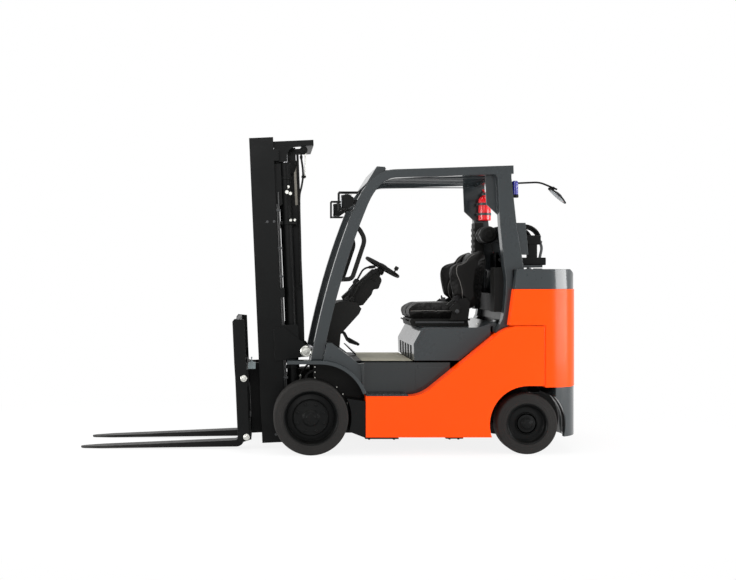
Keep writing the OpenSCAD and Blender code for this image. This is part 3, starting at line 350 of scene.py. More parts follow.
PAINT = dict(grain=0.0035, depth=0.00003, rough_vary=0.05)
ORANGE = dict(rough=0.32, spec=0.10, vary=0.025, patch=0.6, wear=(120, 44, 20), wear_at=0.66, edge=0.006,
              coat=0.05, **PAINT)
GREY = dict(rough=0.30, spec=0.20, vary=0.05, patch=0.4, wear=(84, 88, 88), wear_at=0.76, coat=0.55, **PAINT)
BLACK = dict(rough=0.40, spec=0.10, vary=0.14, patch=0.3, wear=(62, 62, 62), dust=0.015, grain=0.003,
             depth=0.00004)
TYRE = dict(rough=0.80, spec=0.14, vary=0.16, patch=0.12, grain=0.0012, depth=0.00010, dust=0.08,
            dust_rgb=(84, 79, 71), wear=(58, 56, 52), wear_at=0.45, edge=0.006)
PLATED = dict(grain=0.002, depth=0.00005, edge=0.001)
MAT = {
    # The frame's inner faces carry dark underbody paint and painted shade; the counterweight's front middle
    # carries painted shade
    "frame": material("orange_frame", ORANGE_RGB, underbody_and_shade=(UNDERBODY_SHADE_RGB, 0.468, -9.0), **ORANGE),
    "weight": material("orange_weight", ORANGE_RGB, underbody_and_shade=(UNDERBODY_SHADE_RGB, 0.505, P(-1530, 0, 0).x), **ORANGE),
    # A darker copy of the grey paint for the low step panels: painted shade
    "grey_shaded_low": material("grey_step_shaded", (28, 32, 33), **GREY),
    "grey": material("grey_paint", GREY_RGB, **GREY),
    # The counterweight covers carry painted shade inside the rear wheel arches
    "cover": material("grey_cover", GREY_RGB, arch_shade=ARCH_SHADE, **GREY),
    # The guard's grey is the body grey made a little darker: painted shade
    "guard": material("guard_paint_shaded", (34, 39, 41), edge=0.012, **GREY),
    "valve": material("valve_paint", (108, 118, 119), 0.38, edge=0.001, vary=0.1, patch=0.05,
                      wear=(160, 160, 158)),
    "black": material("black_paint", (10, 11, 11), **BLACK),
    "fork": material("fork_paint", (13, 13, 13), scuff=((74, 73, 70), 0.9, 2.6), **BLACK),
    "plastic": material("black_plastic", (17, 17, 16), 0.52, spec=0.13, vary=0.10, patch=0.2, grain=0.0016,
                        depth=0.00012, kind="pebble", dust=0.015),
    "rubber": material("moulded_rubber", (17, 17, 17), 0.66, spec=0.15, vary=0.10, patch=0.05, grain=0.0014,
                       depth=0.0001, edge=0.001),
    "front_tyre": material("drive_tyre", (34, 33, 32), rings=(AXLE_X["front"], FRONT_R / 1000, FRONT_RINGS),
                           **TYRE),
    "rear_tyre": material("steer_tyre", (34, 33, 32), rings=(AXLE_X["rear"], REAR_R / 1000, REAR_RINGS),
                          **TYRE),
    "steel": material("bare_steel", (186, 186, 188), 0.28, metal=1.0, vary=0.10, patch=0.06, grain=0.004,
                      depth=0.00003, kind="brushed", wear=(140, 140, 142), wear_at=0.5, edge=0.002),
    "zinc": material("zinc_plate", (196, 196, 190), 0.34, metal=1.0, vary=0.14, patch=0.015, **PLATED),
    "zinc_dark": material("dark_plate", (66, 67, 68), 0.42, metal=0.8, vary=0.18, patch=0.02, **PLATED),
    "chain": material("oiled_chain", (96, 93, 87), 0.38, metal=0.85, vary=0.25, patch=0.02, grain=0.002,
                      depth=0.00006, edge=0.0006),
    "pipe": material("steel_pipe", (70, 70, 70), 0.35, metal=0.6, vary=0.15, patch=0.05, grain=0.003,
                     depth=0.00003, edge=0),
    "hose": material("braided_hose", (20, 20, 20), 0.6, spec=0.2, vary=0.12, patch=0.04, grain=0.0016,
                     kind="weave", edge=0),
    "vinyl": material("seat_vinyl", (10, 9, 8), 0.44, spec=0.12, vary=0.12, patch=0.15, grain=0.0022,
                      depth=0.00022, kind="pebble", edge=0, sheen=0.03),
    "piping": material("seat_piping", (92, 90, 87), 0.5, vary=0.1, patch=0.02, grain=0.001,
                       depth=0.0001, edge=0),
    "webbing": material("belt_webbing", (26, 26, 27), 0.7, spec=0.2, vary=0.1, patch=0.02, grain=0.0018,
                        depth=0.0003, kind="weave", edge=0),
    # The floor mat's pale tan is a painted reflection of the bright surroundings at a grazing angle; its dust
    # is real
    "mat": material("rubber_mat_pale_sheen", (164, 160, 142), 0.62, vary=0.14, patch=0.1, grain=0.0015, depth=0.0001,
                    edge=0.001, dust=0.25),
    "red": material("red_paint", (216, 16, 26), 0.26, spec=0.35, vary=0.05, patch=0.1, grain=0.003,
                    depth=0.00003, coat=0.3, edge=0.002),
    "blue": material("blue_lens", (12, 10, 120), 0.16, spec=0.5, vary=0.15, patch=0.02, grain=0.004,
                     depth=0.0004, coat=0.5, edge=0),
    "lens": material("lamp_glass", (205, 210, 214), 0.10, spec=0.5, vary=0.06, patch=0.01, grain=0.006,
                     depth=0.0012, kind="weave", edge=0, clear=0.6),
    "screen": material("dash_glass", (12, 15, 17), 0.12, spec=0.5, vary=0.2, patch=0.03, grain=0.02,
                       depth=0.00002, edge=0),
    # Near-black for the slats behind the hood's louvres: painted shade in the openings
    "slot_shade": material("painted_slot_shade", (9, 9, 9), 0.8, spec=0.05, vary=0.3, patch=0.03, grain=0.004, edge=0),
}


# CAD nodes
def shading_group(degrees):
    """A modifier group that shades smooth wherever faces meet at less than this angle."""
    t = bpy.data.node_groups.new("shade_%d" % degrees, "GeometryNodeTree")
    for way in ("INPUT", "OUTPUT"):
        t.interface.new_socket("Geometry", in_out=way, socket_type="NodeSocketGeometry")
    start, end = t.nodes.new("NodeGroupInput"), t.nodes.new("NodeGroupOutput")
    faces, edges = t.nodes.new("GeometryNodeSetShadeSmooth"), t.nodes.new("GeometryNodeSetShadeSmooth")
    faces.domain, edges.domain = "FACE", "EDGE"
    edges.inputs["Shade Smooth"].default_value = False
    angle, over = t.nodes.new("GeometryNodeInputMeshEdgeAngle"), t.nodes.new("ShaderNodeMath")
    over.operation = "GREATER_THAN"
    over.inputs[1].default_value = math.radians(degrees)
    t.links.new(start.outputs[0], faces.inputs["Geometry"])
    t.links.new(faces.outputs[0], edges.inputs["Geometry"])
    t.links.new(angle.outputs["Unsigned Angle"], over.inputs[0])
    t.links.new(over.outputs[0], edges.inputs["Selection"])
    t.links.new(edges.outputs[0], end.inputs[0])
    return t


SHADE = {d: shading_group(d) for d in (30, 55)}


def soften(o, width, segments=2, angle=35):
    """Rounds an object's sharp edges for the light."""
    bevel = o.modifiers.new("bevel", "BEVEL")
    bevel.width = width
    bevel.segments = segments
    bevel.limit_method = "ANGLE"
    bevel.angle_limit = math.radians(angle)
    o.modifiers.new("shading", "NODES").node_group = SHADE[55]
    o.modifiers.new("normals", "WEIGHTED_NORMAL")


def dress(node, key, width):
    """Gives a CAD node its finish."""
    o = NODES[node]
    o.data.materials.clear()
    o.data.materials.append(MAT[key])
    o.modifiers.new("weld", "WELD").merge_threshold = 0.00002
    if width:
        soften(o, width, 3 if width >= 0.010 else 2)
    else:
        o.modifiers.new("shading", "NODES").node_group = SHADE[30]


# Each finish, the radius of its edges, and the nodes that have it
LOOKS = (
    ("frame", 0.010, "frame"),
    ("weight", 0.012, "counterweight"),
    ("cover", 0.012, "counterweight_covers"),
    ("grey", 0.012, "engine_hood"),
    ("grey", 0.002, "gas_bracket"),
    ("grey", 0.0, "front_fenders"),
    ("grey_shaded_low", 0.003, "step_panels"),
    ("guard", 0.0, "guard_sides guard_roof"),
    ("black", 0.006, "engine_block"),
    ("black", 0.004, "carriage load_backrest"),
    ("black", 0.003, "wheel_liners front_axle steer_axle drawbar_jaw outer_rails lift_barrels middle_rails"),
    ("black", 0.003, "inner_rails free_lift_barrel free_lift_head knuckle_left knuckle_right"),
    ("black", 0.002, "rear_grille tilt_barrels"),
    ("black", 0.002, "front_wheel_left front_wheel_right rear_wheel_left rear_wheel_right"),
    ("black", 0.0015, "work_lamps gas_straps"),
    ("fork", 0.004, "fork_left fork_right"),
    ("plastic", 0.012, "dash_cowl"),
    ("plastic", 0.006, "air_intake"),
    ("plastic", 0.004, "seat_frame"),
    ("plastic", 0.003, "steering_wheel"),
    ("plastic", 0.002, "floor_plate controls rear_lamps"),
    ("plastic", 0.0, "grab_handles"),
    ("red", 0.0, "fire_extinguisher"),
    ("vinyl", 0.0, "seat_cushion seat_back"),
    ("steel", 0.002, "tilt_rods lift_rods"),
    ("chain", 0.0, "stage_chains carriage_chains"),
    ("front_tyre", 0.0, "front_tyre_left front_tyre_right"),
    ("rear_tyre", 0.0, "rear_tyre_left rear_tyre_right"),
)
for key, width, nodes in LOOKS:
    for node in nodes.split():
        dress(node, key, width)


# Mesh building
def piece(name, bm, key, body, sharp=32, bevel=0.0):
    """Turns a bmesh into a finished piece that rides on a body."""
    bmesh.ops.recalc_face_normals(bm, faces=bm.faces[:])
    me = bpy.data.meshes.new(name)
    bm.to_mesh(me)
    bm.free()
    me.polygons.foreach_set("use_smooth", [True] * len(me.polygons))
    me.set_sharp_from_angle(angle=math.radians(sharp))
    me.materials.append(MAT[key])
    o = bpy.data.objects.new(name, me)
    scene.collection.objects.link(o)
    if bevel:
        soften(o, bevel, 2, 40)
    if body:
        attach(o, body)
    return o


def meshes(count):
    return [bmesh.new() for _ in range(count)]


def basis(axis):
    """Two directions square to an axis."""
    w = Vector(axis).normalized()
    u = w.cross(UP if abs(w.z) < 0.9 else AHEAD).normalized()
    return u, w.cross(u), w


def turn(bm, place, axis, profile, n=24, phase=0.0):
    """Adds a turned form: profile gives (radius, distance along the axis) in metres."""
    u, v, w = basis(axis)
    rings = []
    for r, h in profile:
        c = Vector(place) + w * h
        if r < 1e-6:
            rings.append([bm.verts.new(c)])
        else:
            rings.append([bm.verts.new(c + (u * math.cos(a) + v * math.sin(a)) * r)
                          for a in (phase + 2 * math.pi * i / n for i in range(n))])
    for p, q in zip(rings, rings[1:]):
        for i in range(n):
            k = (i + 1) % n
            if len(p) == 1:
                bm.faces.new((p[0], q[k], q[i]))
            elif len(q) == 1:
                bm.faces.new((p[i], p[k], q[0]))
            else:
                bm.faces.new((p[i], p[k], q[k], q[i]))
    for ring in (rings[0], rings[-1]):
        if len(ring) > 2:
            bm.faces.new(ring)


def sweep(bm, path, section):
    """Adds a section, points across and up, carried along an open path without twisting."""
    path = [Vector(p) for p in path]
    ahead, behind = path[1:] + path[-1:], path[:1] + path[:-1]
    ways = [(b - a).normalized() for a, b in zip(behind, ahead)]
    u, _, _ = basis(ways[0])
    rings = []
    for p, w in zip(path, ways):
        u = (u - w * u.dot(w)).normalized()
        v = w.cross(u)
        rings.append([bm.verts.new(p + u * a + v * b) for a, b in section])
    m = len(section)
    for p, q in zip(rings, rings[1:]):
        for k in range(m):
            bm.faces.new((p[k], p[(k + 1) % m], q[(k + 1) % m], q[k]))
    bm.faces.new(rings[0])
    bm.faces.new(rings[-1])


def round_section(r, n=10):
    return [(r * math.cos(2 * math.pi * i / n), r * math.sin(2 * math.pi * i / n)) for i in range(n)]


def flat_section(w, h, r, n=3):
    """A rounded rectangle, w across and h up."""
    a, b = w / 2 - r, h / 2 - r
    out = []
    for cx, cy, start in ((a, b, 0), (-a, b, 90), (-a, -b, 180), (a, -b, 270)):
        for i in range(n + 1):
            t = math.radians(start + 90 * i / n)
            out.append((cx + r * math.cos(t), cy + r * math.sin(t)))
    return out


def rounded(points, r, n=5):
    """A path through points with its corners turned at about radius r."""
    pts = [Vector(p) for p in points]
    out = [pts[0]]
    for a, b, c in zip(pts, pts[1:], pts[2:]):
        k = min(r, (a - b).length * 0.49, (c - b).length * 0.49)
        p, q = b + (a - b).normalized() * k, b + (c - b).normalized() * k
        for i in range(n + 1):
            t = i / n
            out.append(p * (1 - t) ** 2 + b * 2 * t * (1 - t) + q * t * t)
    out.append(pts[-1])
    return out


def even_steps(pts, count, slack=0.0):
    """Points at even distances along a path, with its ends, and the path's length."""
    length = sum((q - p).length for p, q in zip(pts, pts[1:]))
    count = count(length)
    out, walked, k = [pts[0]], 0.0, 1
    for p, q in zip(pts, pts[1:]):
        d = (q - p).length
        while k < count and walked + d >= k * length / count - slack:
            out.append(p.lerp(q, (k * length / count - walked) / d))
            k += 1
        walked += d
    out.append(pts[-1])
    return out, length


def spline(points, step=0.012):
    """A smooth curve through points, in even steps."""
    pts = [Vector(p) for p in points]
    ext = [2 * pts[0] - pts[1]] + pts + [2 * pts[-1] - pts[-2]]
    fine = []
    for a, b, c, d in zip(ext, ext[1:], ext[2:], ext[3:]):
        for i in range(24):
            t = i / 24
            fine.append(0.5 * (2 * b + (c - a) * t + (2 * a - 5 * b + 4 * c - d) * t * t
                               + (3 * b - a - 3 * c + d) * t ** 3))
    fine.append(pts[-1])
    return even_steps(fine, lambda length: max(8, round(length / step)))


def arc_points(cx, cz, r, a0, a1, n):
    turned = [math.radians(a0 + (a1 - a0) * i / n) for i in range(n + 1)]
    return [(cx + r * math.cos(a), cz + r * math.sin(a)) for a in turned]


def brick(bm, a, b):
    """Adds a box between two corners."""
    lo = [min(p, q) for p, q in zip(a, b)]
    hi = [max(p, q) for p, q in zip(a, b)]
    v = [bm.verts.new((x, y, z)) for x in (lo[0], hi[0]) for y in (lo[1], hi[1]) for z in (lo[2], hi[2])]
    for f in ((0, 1, 3, 2), (4, 6, 7, 5), (0, 4, 5, 1), (2, 3, 7, 6), (0, 2, 6, 4), (1, 5, 7, 3)):
        bm.faces.new([v[i] for i in f])


def prism(bm, outline, way):
    """Adds a flat outline of points carried along a vector."""
    lo = [bm.verts.new(p) for p in outline]
    hi = [bm.verts.new(Vector(p) + Vector(way)) for p in outline]
    n = len(lo)
    bm.faces.new(lo)
    bm.faces.new(hi)
    for i in range(n):
        bm.faces.new((lo[i], lo[(i + 1) % n], hi[(i + 1) % n], hi[i]))


def slab(bm, at, y, thick, outline):
    """Adds a plate across the truck: millimetres in (x, z), placed by P or MAST from y on."""
    prism(bm, [at(x, y, z) for x, z in outline], (0, thick / 1000, 0))


def bolt(bm, place, axis, size=0.012, washer=True):
    """Adds a hexagon head with its chamfer and washer; size is half the width over corners."""
    s = size
    if washer:
        disc = [(s * 1.45, -0.001), (s * 1.5, 0.0005), (s * 1.5, s * 0.18), (s * 1.4, s * 0.26)]
        turn(bm, place, axis, disc, 20)
    turn(bm, place, axis, [(s * 0.99, s * 0.2), (s, s * 0.3), (s, s * 0.82), (s * 0.84, s * 0.98)], 6)


def drum(r, inner, length, chamfer):
    """A turned profile for a plain drum or ring with its edges broken."""
    return [(inner, 0), (r, chamfer), (r, length - chamfer), (inner, length)]


# Wheels
def wheel_fittings(name, body, tyre, x, z, side, nuts, nut_r, nut_depth, cap_r, cap_depth, cap_bolts):
    """Nuts and rings on a wheel's disc, and the cap on its hub. Depths are from the tyre's face."""
    lo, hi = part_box(tyre)
    face = hi[1] if side > 0 else -lo[1]
    out = Y * side

    def on_disc(dx, dz, depth):
        c = P(x + dx, 0, z + dz)
        c.y = side * (face - depth / 1000)
        return c

    bm = bmesh.new()
    for i in range(nuts):
        a = 2 * math.pi * (i + 0.5) / nuts
        c = on_disc(nut_r * math.cos(a), nut_r * math.sin(a), nut_depth)
        bolt(bm, c, out, 0.011)
        turn(bm, c + out * 0.010, out, [(0.005, 0), (0.005, 0.005), (0.0035, 0.007)], 10)
    for r in (nut_r * 1.22 / 1000, nut_r * 0.78 / 1000):
        ridge = [(r - 0.003, -0.001), (r - 0.001, 0.002), (r + 0.001, 0.002), (r + 0.003, -0.001)]
        turn(bm, on_disc(0, 0, nut_depth), out, ridge, 48)
    piece(name + "_nuts", bm, "black", body)
    bm = bmesh.new()
    c = on_disc(0, 0, cap_depth)
    r = cap_r / 1000
    turn(bm, c, out, [(r, -0.004), (r, 0.002), (r * 0.94, 0.0055), (r * 0.62, 0.0068), (r * 0.58, 0.0085),
                      (r * 0.3, 0.0095), (0, 0.0098)], 48)
    for i in range(cap_bolts):
        a = 2 * math.pi * i / cap_bolts
        bolt(bm, c + Vector((math.cos(a), 0, math.sin(a))) * r * 0.8 + out * 0.005, out, 0.0065, False)
    piece(name + "_cap", bm, "black", body)


for side, word in SIDE_NAMES:
    wheel_fittings("drive_" + word, "drive_wheel_" + word, "front_tyre_" + word, 0, FRONT_R, side,
                   nuts=8, nut_r=104, nut_depth=29, cap_r=57, cap_depth=16.5, cap_bolts=6)
    wheel_fittings("steer_" + word, "steer_wheel_" + word, "rear_tyre_" + word, REAR_X, REAR_R, side,
                   nuts=0, nut_r=64, nut_depth=29, cap_r=35, cap_depth=8.5, cap_bolts=0)


# Leaf chains
def chain_links(bm, path, y, pitch=25):
    """Adds leaf chain along a path in the mast's frame: plates that lap each other, and their pins."""
    pins, _ = even_steps([Vector((x, 0, z)) for x, z in path],
                         lambda length: max(2, round(length / pitch)), 1e-6)
    for i, (p, q) in enumerate(zip(pins, pins[1:])):
        w = (q - p).normalized()
        across = Vector((-w.z, 0, w.x))
        outline = []
        for c, turned in ((q, 0), (p, 180)):
            for a in (-70, -35, 0, 35, 70):
                t = math.radians(a + turned)
                v = c + (w * math.cos(t) + across * math.sin(t)) * 10.5
                outline.append((v.x, v.z))
        for off in ((-11.4, -4.6, 2.2, 9.0) if i % 2 else (-8.0, -1.2, 5.6)):
            slab(bm, MAST, y + off, 3.1, outline)
    for p in pins:
        turn(bm, MAST(p.x, y - 13.6, p.z), Y, [(0.0046, 0), (0.0046, 0.0272)], 8)


def chain_run(name, path, y, body=None, blend=None):
    bm = bmesh.new()
    for side in SIDES:
        chain_links(bm, path, side * y)
    o = piece(name, bm, "chain", body)
    if blend:
        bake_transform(o)
    return o


over_stage = arc_points(STAGE_X, STAGE_TOP, CHAIN_R, 180, 0, 8)
over_head = arc_points(HEAD_X, HEAD_TOP, CHAIN_R, 180, 0, 8)
stage_back = STAGE_X - CHAIN_R
stage_front = STAGE_X + CHAIN_R
head_back = HEAD_X - CHAIN_R
head_front = HEAD_X + CHAIN_R
chain_run("stage_chain_run", [(stage_back, 1248), (stage_back, STAGE_TOP)], STAGE_Y,
          blend=("mast_outer", "mast_middle"))
o = chain_run("stage_chain_top", over_stage + [(stage_front, 2100)], STAGE_Y, body="mast_middle")
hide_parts("stage_chains")
chain_run("carriage_chain_rear", [(head_back, 420), (head_back, HEAD_TOP)], HEAD_Y,
          blend=("mast_inner", "lift_head"))
o = chain_run("carriage_chain_top", over_head, HEAD_Y, body="lift_head")
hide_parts("carriage_chains")
chain_run("carriage_chain_front", [(head_front, HEAD_TOP), (head_front, 652)], HEAD_Y,
          blend=("lift_head", "carriage"))

# Sheave flanges and the clevises at the chains' ends
FLANGE = [(0.020, -0.0012), (0.040, -0.0012), (0.043, 0), (0.057, 0), (0.0585, 0.0008), (0.0585, 0.0022),
          (0.057, 0.003), (0.043, 0.003), (0.040, 0.0042), (0.020, 0.0042)]
for name, x, z, y, body in (("stage_sheaves", STAGE_X, STAGE_TOP, STAGE_Y, "mast_middle"),
                            ("head_sheaves", HEAD_X, HEAD_TOP, HEAD_Y, "lift_head")):
    bm = bmesh.new()
    for side in SIDES:
        for inner in (-17.0, 14.0):
            turn(bm, MAST(x, side * y + inner, z), Y, FLANGE, 40)
        bolt(bm, MAST(x, side * (y + 17.5), z), Y * side, 0.013)
    piece(name, bm, "black", body)
for name, x, z, body in (("stage_chain_feet", stage_back, 1262, "mast_outer"),
                         ("stage_chain_ends", stage_front, 2094, "mast_middle")):
    bm = bmesh.new()
    for side in SIDES:
        y = side * STAGE_Y
        brick(bm, MAST(x - 9, y - 12.5, z - 16), MAST(x + 9, y + 12.5, z + 12))
    piece(name, bm, "zinc_dark", body, bevel=0.002)


# Clamps that hold the lift cylinders to the rails, the cylinder heads, and the plates on the mast's side
BARREL_R = 0.0432
CLAMP = [(BARREL_R, 0), (0.0462, 0), (0.0475, 0.004), (0.0475, 0.030), (0.0462, 0.034), (BARREL_R, 0.034)]
GUARD_SHEET = ((62, 704), (12, 704), (6, 1000), (2, 1870), (-6, 1900), (-8, 2290), (11, 2290), (11, 1900),
               (22, 1892), (62, 1892))
mast_up = MAST(0, 0, 1) - MAST(0, 0, 0)
bm, bolts, small = meshes(3)
for side in SIDES:
    for z in (1755, 640):
        turn(bm, MAST(LIFT_X, side * LIFT_Y, z - 17), mast_up, CLAMP, 40)
        brick(bm, MAST(140, side * 262, z - 14), MAST(189, side * 300, z + 14))
    for z, r in ((2010, 0.0445), (2086, 0.047)):
        turn(bm, MAST(LIFT_X, side * LIFT_Y, z), mast_up,
             [(BARREL_R, 0), (r, 0.001), (r + 0.0012, 0.004), (r + 0.0012, 0.022), (r, 0.025),
              (BARREL_R, 0.026)], 40)
    brick(bm, MAST(34, side * 224, 1738), MAST(94, side * 312, 1792))
    slab(bm, MAST, side * 298, side * 7, ((136, 1900), (150, 1886), (189, 1886), (189, 2214), (136, 2214)))
    slab(bm, MAST, side * 217, side * 3, GUARD_SHEET)
    for x in (47, 78):
        bolt(bolts, MAST(x, side * 312, 1771), Y * side, 0.0068)
    for x, z, size in ((72, 1978, 0.0085), (98, 1990, 0.0095), (86, 2030, 0.0075)):
        bolt(bolts, MAST(x, side * 306, z), Y * side, size)
    for x, z in ((259, 1765), (207, 1765), (264, 130), (174, 130)):
        bolt(small, MAST(x, side * 350, z), Y * side, 0.007)
piece("cylinder_clamps", bm, "black", "mast_outer", bevel=0.0015)
piece("mast_fittings", bolts, "zinc", "mast_outer")
piece("mast_bolts", small, "zinc_dark", "mast_outer")

# Gussets under the middle mast's top tie, and plates behind the chains
GUSSET = [(184, 2346), (184, 2226), (86, 2226)] + arc_points(10, 2262, 76, 0, 80, 8) + [(20, 2346)]
CHAIN_PLATE = ((74, 2347), (74, 1904), (62, 1890), (24, 1890), (14, 1904), (14, 2347))
bm = bmesh.new()
for side in SIDES:
    slab(bm, MAST, side * 291, side * 5, GUSSET)
    slab(bm, MAST, side * 176, side * 4, CHAIN_PLATE)
piece("mast_gussets", bm, "black", "mast_middle", bevel=0.001)

# Steel pipes behind each rail, with their clips
bm, clips = meshes(2)
for side in SIDES:
    for x, y, top in ((167, 322, 1990), (180.5, 324, 1900)):
        foot = side * (y - 4)
        route = [MAST(x, side * y, top), MAST(x, side * y, 470), MAST(x - 50, foot, 430),
                 MAST(x - 50, foot, 210)]
        sweep(bm, rounded(route, 0.03), round_section(0.0066, 12))
    for z in (1850, 1560, 1340, 900, 560):
        brick(clips, MAST(152, side * 312, z - 9), MAST(190, side * 333, z + 9))
piece("mast_pipes", bm, "pipe", "mast_outer")
piece("mast_pipe_clips", clips, "zinc_dark", "mast_outer", bevel=0.0015)

# Ear plates and pin caps where the tilt cylinders meet the mast
PIN_CAP = [(0.043, -0.002), (0.043, 0.006), (0.038, 0.010), (0.034, 0.007), (0.024, 0.007), (0.022, 0.013),
           (0.008, 0.014), (0.007, 0.010), (0, 0.010)]
bm, caps = meshes(2)
for side in SIDES:
    slab(bm, MAST, side * 350, side * 4, ((190, 820), (190, 966), (66, 966), (56, 950), (56, 846), (70, 820)))
    turn(caps, MAST(7, side * 362, 758), Y * side, PIN_CAP, 36)
piece("ear_plates", bm, "black", "mast_outer", bevel=0.001)
piece("pin_caps", caps, "zinc", "mast_outer")

# Panels that close the front wheel arches on the inside, with their bolts
ARCH_PANEL = [(-28, 664), (-28, 420), (-60, 404), (-112, 330), (-112, 232), (-160, 160), (-250, 136),
              (-396, 136), (-396, 420)] + arc_points(-85, 330, 338, 164, 92, 10)
ARCH_BOLTS = ((-208, 486), (-254, 433), (-290, 364), (-305, 303), (-312, 226), (-40, 640), (-40, 600),
              (-40, 556))
bm, bolts = meshes(2)
for side in SIDES:
    slab(bm, P, side * 380, side * 5, ARCH_PANEL)
    for x, z in ARCH_BOLTS:
        bolt(bolts, P(x, side * 385, z), Y * side, 0.0062, False)
piece("arch_panels", bm, "plastic", "chassis", bevel=0.001)

# Fillers and pressed panels beside the step, and plates under the frame
bm = bmesh.new()
for side in SIDES:
    slab(bm, P, side * 546, side * 22, ((-346, 682), (-398, 682), (-402, 470), (-388, 470), (-374, 660)))
    slab(bm, P, side * 458, side * 5, ((-800, 642), (-1030, 640), (-905, 520), (-870, 496), (-800, 474)))
# The fillers and pressed panels take the darker grey, as painted shade
piece("step_fillers", bm, "grey_shaded_low", "chassis", bevel=0.002)
bm = bmesh.new()
for side in SIDES:
    for x0, x1, z in ((-655, -405, 120), (-1136, -1006, 122)):
        brick(bm, P(x0, side * 500, z), P(x1, side * 586, 140))
        for x in (x0 + 32, x1 - 32):
            bolt(bm, P(x, side * 560, z), -UP, 0.009)
piece("under_plates", bm, "black", "chassis", bevel=0.002)
piece("arch_bolts", bolts, "zinc", "chassis")

# Hose wheel under the top tie, on its plates, with the fittings that the mast hoses end in
WHEEL_X, WHEEL_Z = -47, 2313
WHEEL = [(0.006, -0.009), (0.012, -0.009), (0.028, -0.009), (0.031, -0.007), (0.030, -0.003), (0.023, 0),
         (0.030, 0.003), (0.031, 0.007), (0.028, 0.009), (0.006, 0.009)]
bm = bmesh.new()
for y in HOSE_Y:
    turn(bm, MAST(WHEEL_X, y, WHEEL_Z), Y, WHEEL, 32)
for y in (222, 272):
    brick(bm, MAST(WHEEL_X - 13, y, WHEEL_Z - 14), MAST(WHEEL_X + 13, y + 4, 2346))
turn(bm, MAST(WHEEL_X, 220, WHEEL_Z), Y, [(0.008, 0), (0.008, 0.058)], 12)
bolt(bm, MAST(WHEEL_X, 276, WHEEL_Z), Y, 0.011)
r = 0.011
for y in HOSE_Y:
    fitting = [(r * 0.6, 0), (r, 0.002), (r, 0.020), (r * 0.6, 0.024), (r * 0.5, 0.040)]
    turn(bm, MAST(-26, y, 2250), mast_up, fitting, 16)
piece("hose_wheel", bm, "black", "mast_middle")


def hose(name, points, r, body=None, key="hose", ferrules=True, blend=None):
    """A hose from one fitting to another: a smooth tube, with crimped ends."""
    path, length = spline(points)
    bm = bmesh.new()
    sweep(bm, path, round_section(r, 12))
    o = piece(name, bm, key, body)
    ends = []
    if ferrules:
        bm = bmesh.new()
        sleeve = [(r, 0), (r * 1.35, 0.001), (r * 1.35, 0.02), (r * 1.15, 0.023), (r * 1.02, 0.024)]
        nut = [(r * 1.3, 0), (r * 1.5, 0.001), (r * 1.5, 0.012), (r * 1.3, 0.014)]
        for a, b in ((path[0], path[2]), (path[-1], path[-3])):
            w = (b - a).normalized()
            turn(bm, a - w * 0.004, w, sleeve, 14)
            turn(bm, a - w * 0.018, w, nut, 6)
        ends.append(piece(name + "_ends", bm, "zinc", body))
    if blend:
        for part in ends + [o]:
            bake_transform(part)


MAST_HOSE = ((20, 1290), (15, 1400), (9, 1620), (5, 1850), (-1, 1966), (-18, 2030), (-33, 2106), (-34, 2176),
             (-26, 2254))
THIN_HOSE = ((-47, 2112), (-52, 2172), (-57, 2230), (-60, 2282))
for k, y in enumerate(HOSE_Y):
    hose("mast_hose_%d" % (k + 1), [MAST(x, y, z) for x, z in MAST_HOSE], 0.0075,
         blend=("mast_outer", "mast_middle"), ferrules=False)
hose("mast_hose_3", [MAST(x, 249, z) for x, z in THIN_HOSE], 0.004, "mast_middle", key="zinc")
bm = bmesh.new()
brick(bm, MAST(-56, 228, 2100), MAST(-22, 270, 2116))
bolt(bm, MAST(-40, 270, 2108), Y, 0.007)
piece("hose_clip", bm, "black", "mast_middle", bevel=0.002)
bm = bmesh.new()
brick(bm, MAST(8, 216, 1262), MAST(32, 272, 1296))
piece("hose_anchor", bm, "black", "mast_outer", bevel=0.002)

# Lift hoses from the frame to the cylinders' feet
LIFT_HOSE = ((-120, 341, 472), (-118, 339, 520), (-96, 330, 575), (-52, 312, 606), (-4, 292, 592),
             (32, 277, 545), (52, 268, 497))
for side, word in SIDE_NAMES:
    hose("lift_hose_" + word, [P(x, side * y, z) for x, y, z in LIFT_HOSE], 0.008,
         blend=("chassis", "mast_outer"))

# Head lamps behind their guards
bm, lens, rim = meshes(3)
for side in SIDES:
    c = P(-246, side * GUARD_Y, 1896)
    turn(rim, c - AHEAD * 0.004, AHEAD,
         [(0.050, 0), (0.0535, 0.002), (0.0535, 0.012), (0.050, 0.015), (0.046, 0.013)], 40)
    turn(lens, c, AHEAD, [(0.047, 0.002), (0.045, 0.0085), (0.034, 0.0115), (0.018, 0.0135), (0, 0.014)], 40)
    for i in range(5):
        x, half = -0.020 - 0.010 * i, 0.050 - 0.004 * i
        brick(bm, c + Vector((x - 0.0035, -half, 0.045)), c + Vector((x, half, 0.062 - 0.002 * i)))
    turn(bm, c + Vector((-0.096, -0.030, -0.012)), Y, drum(0.014, 0.012, 0.060, 0.002), 16)
piece("lamp_fins", bm, "black", "chassis", bevel=0.001)
piece("lamp_rims", rim, "black", "chassis")
piece("lamp_lenses", lens, "lens", "chassis", sharp=60)

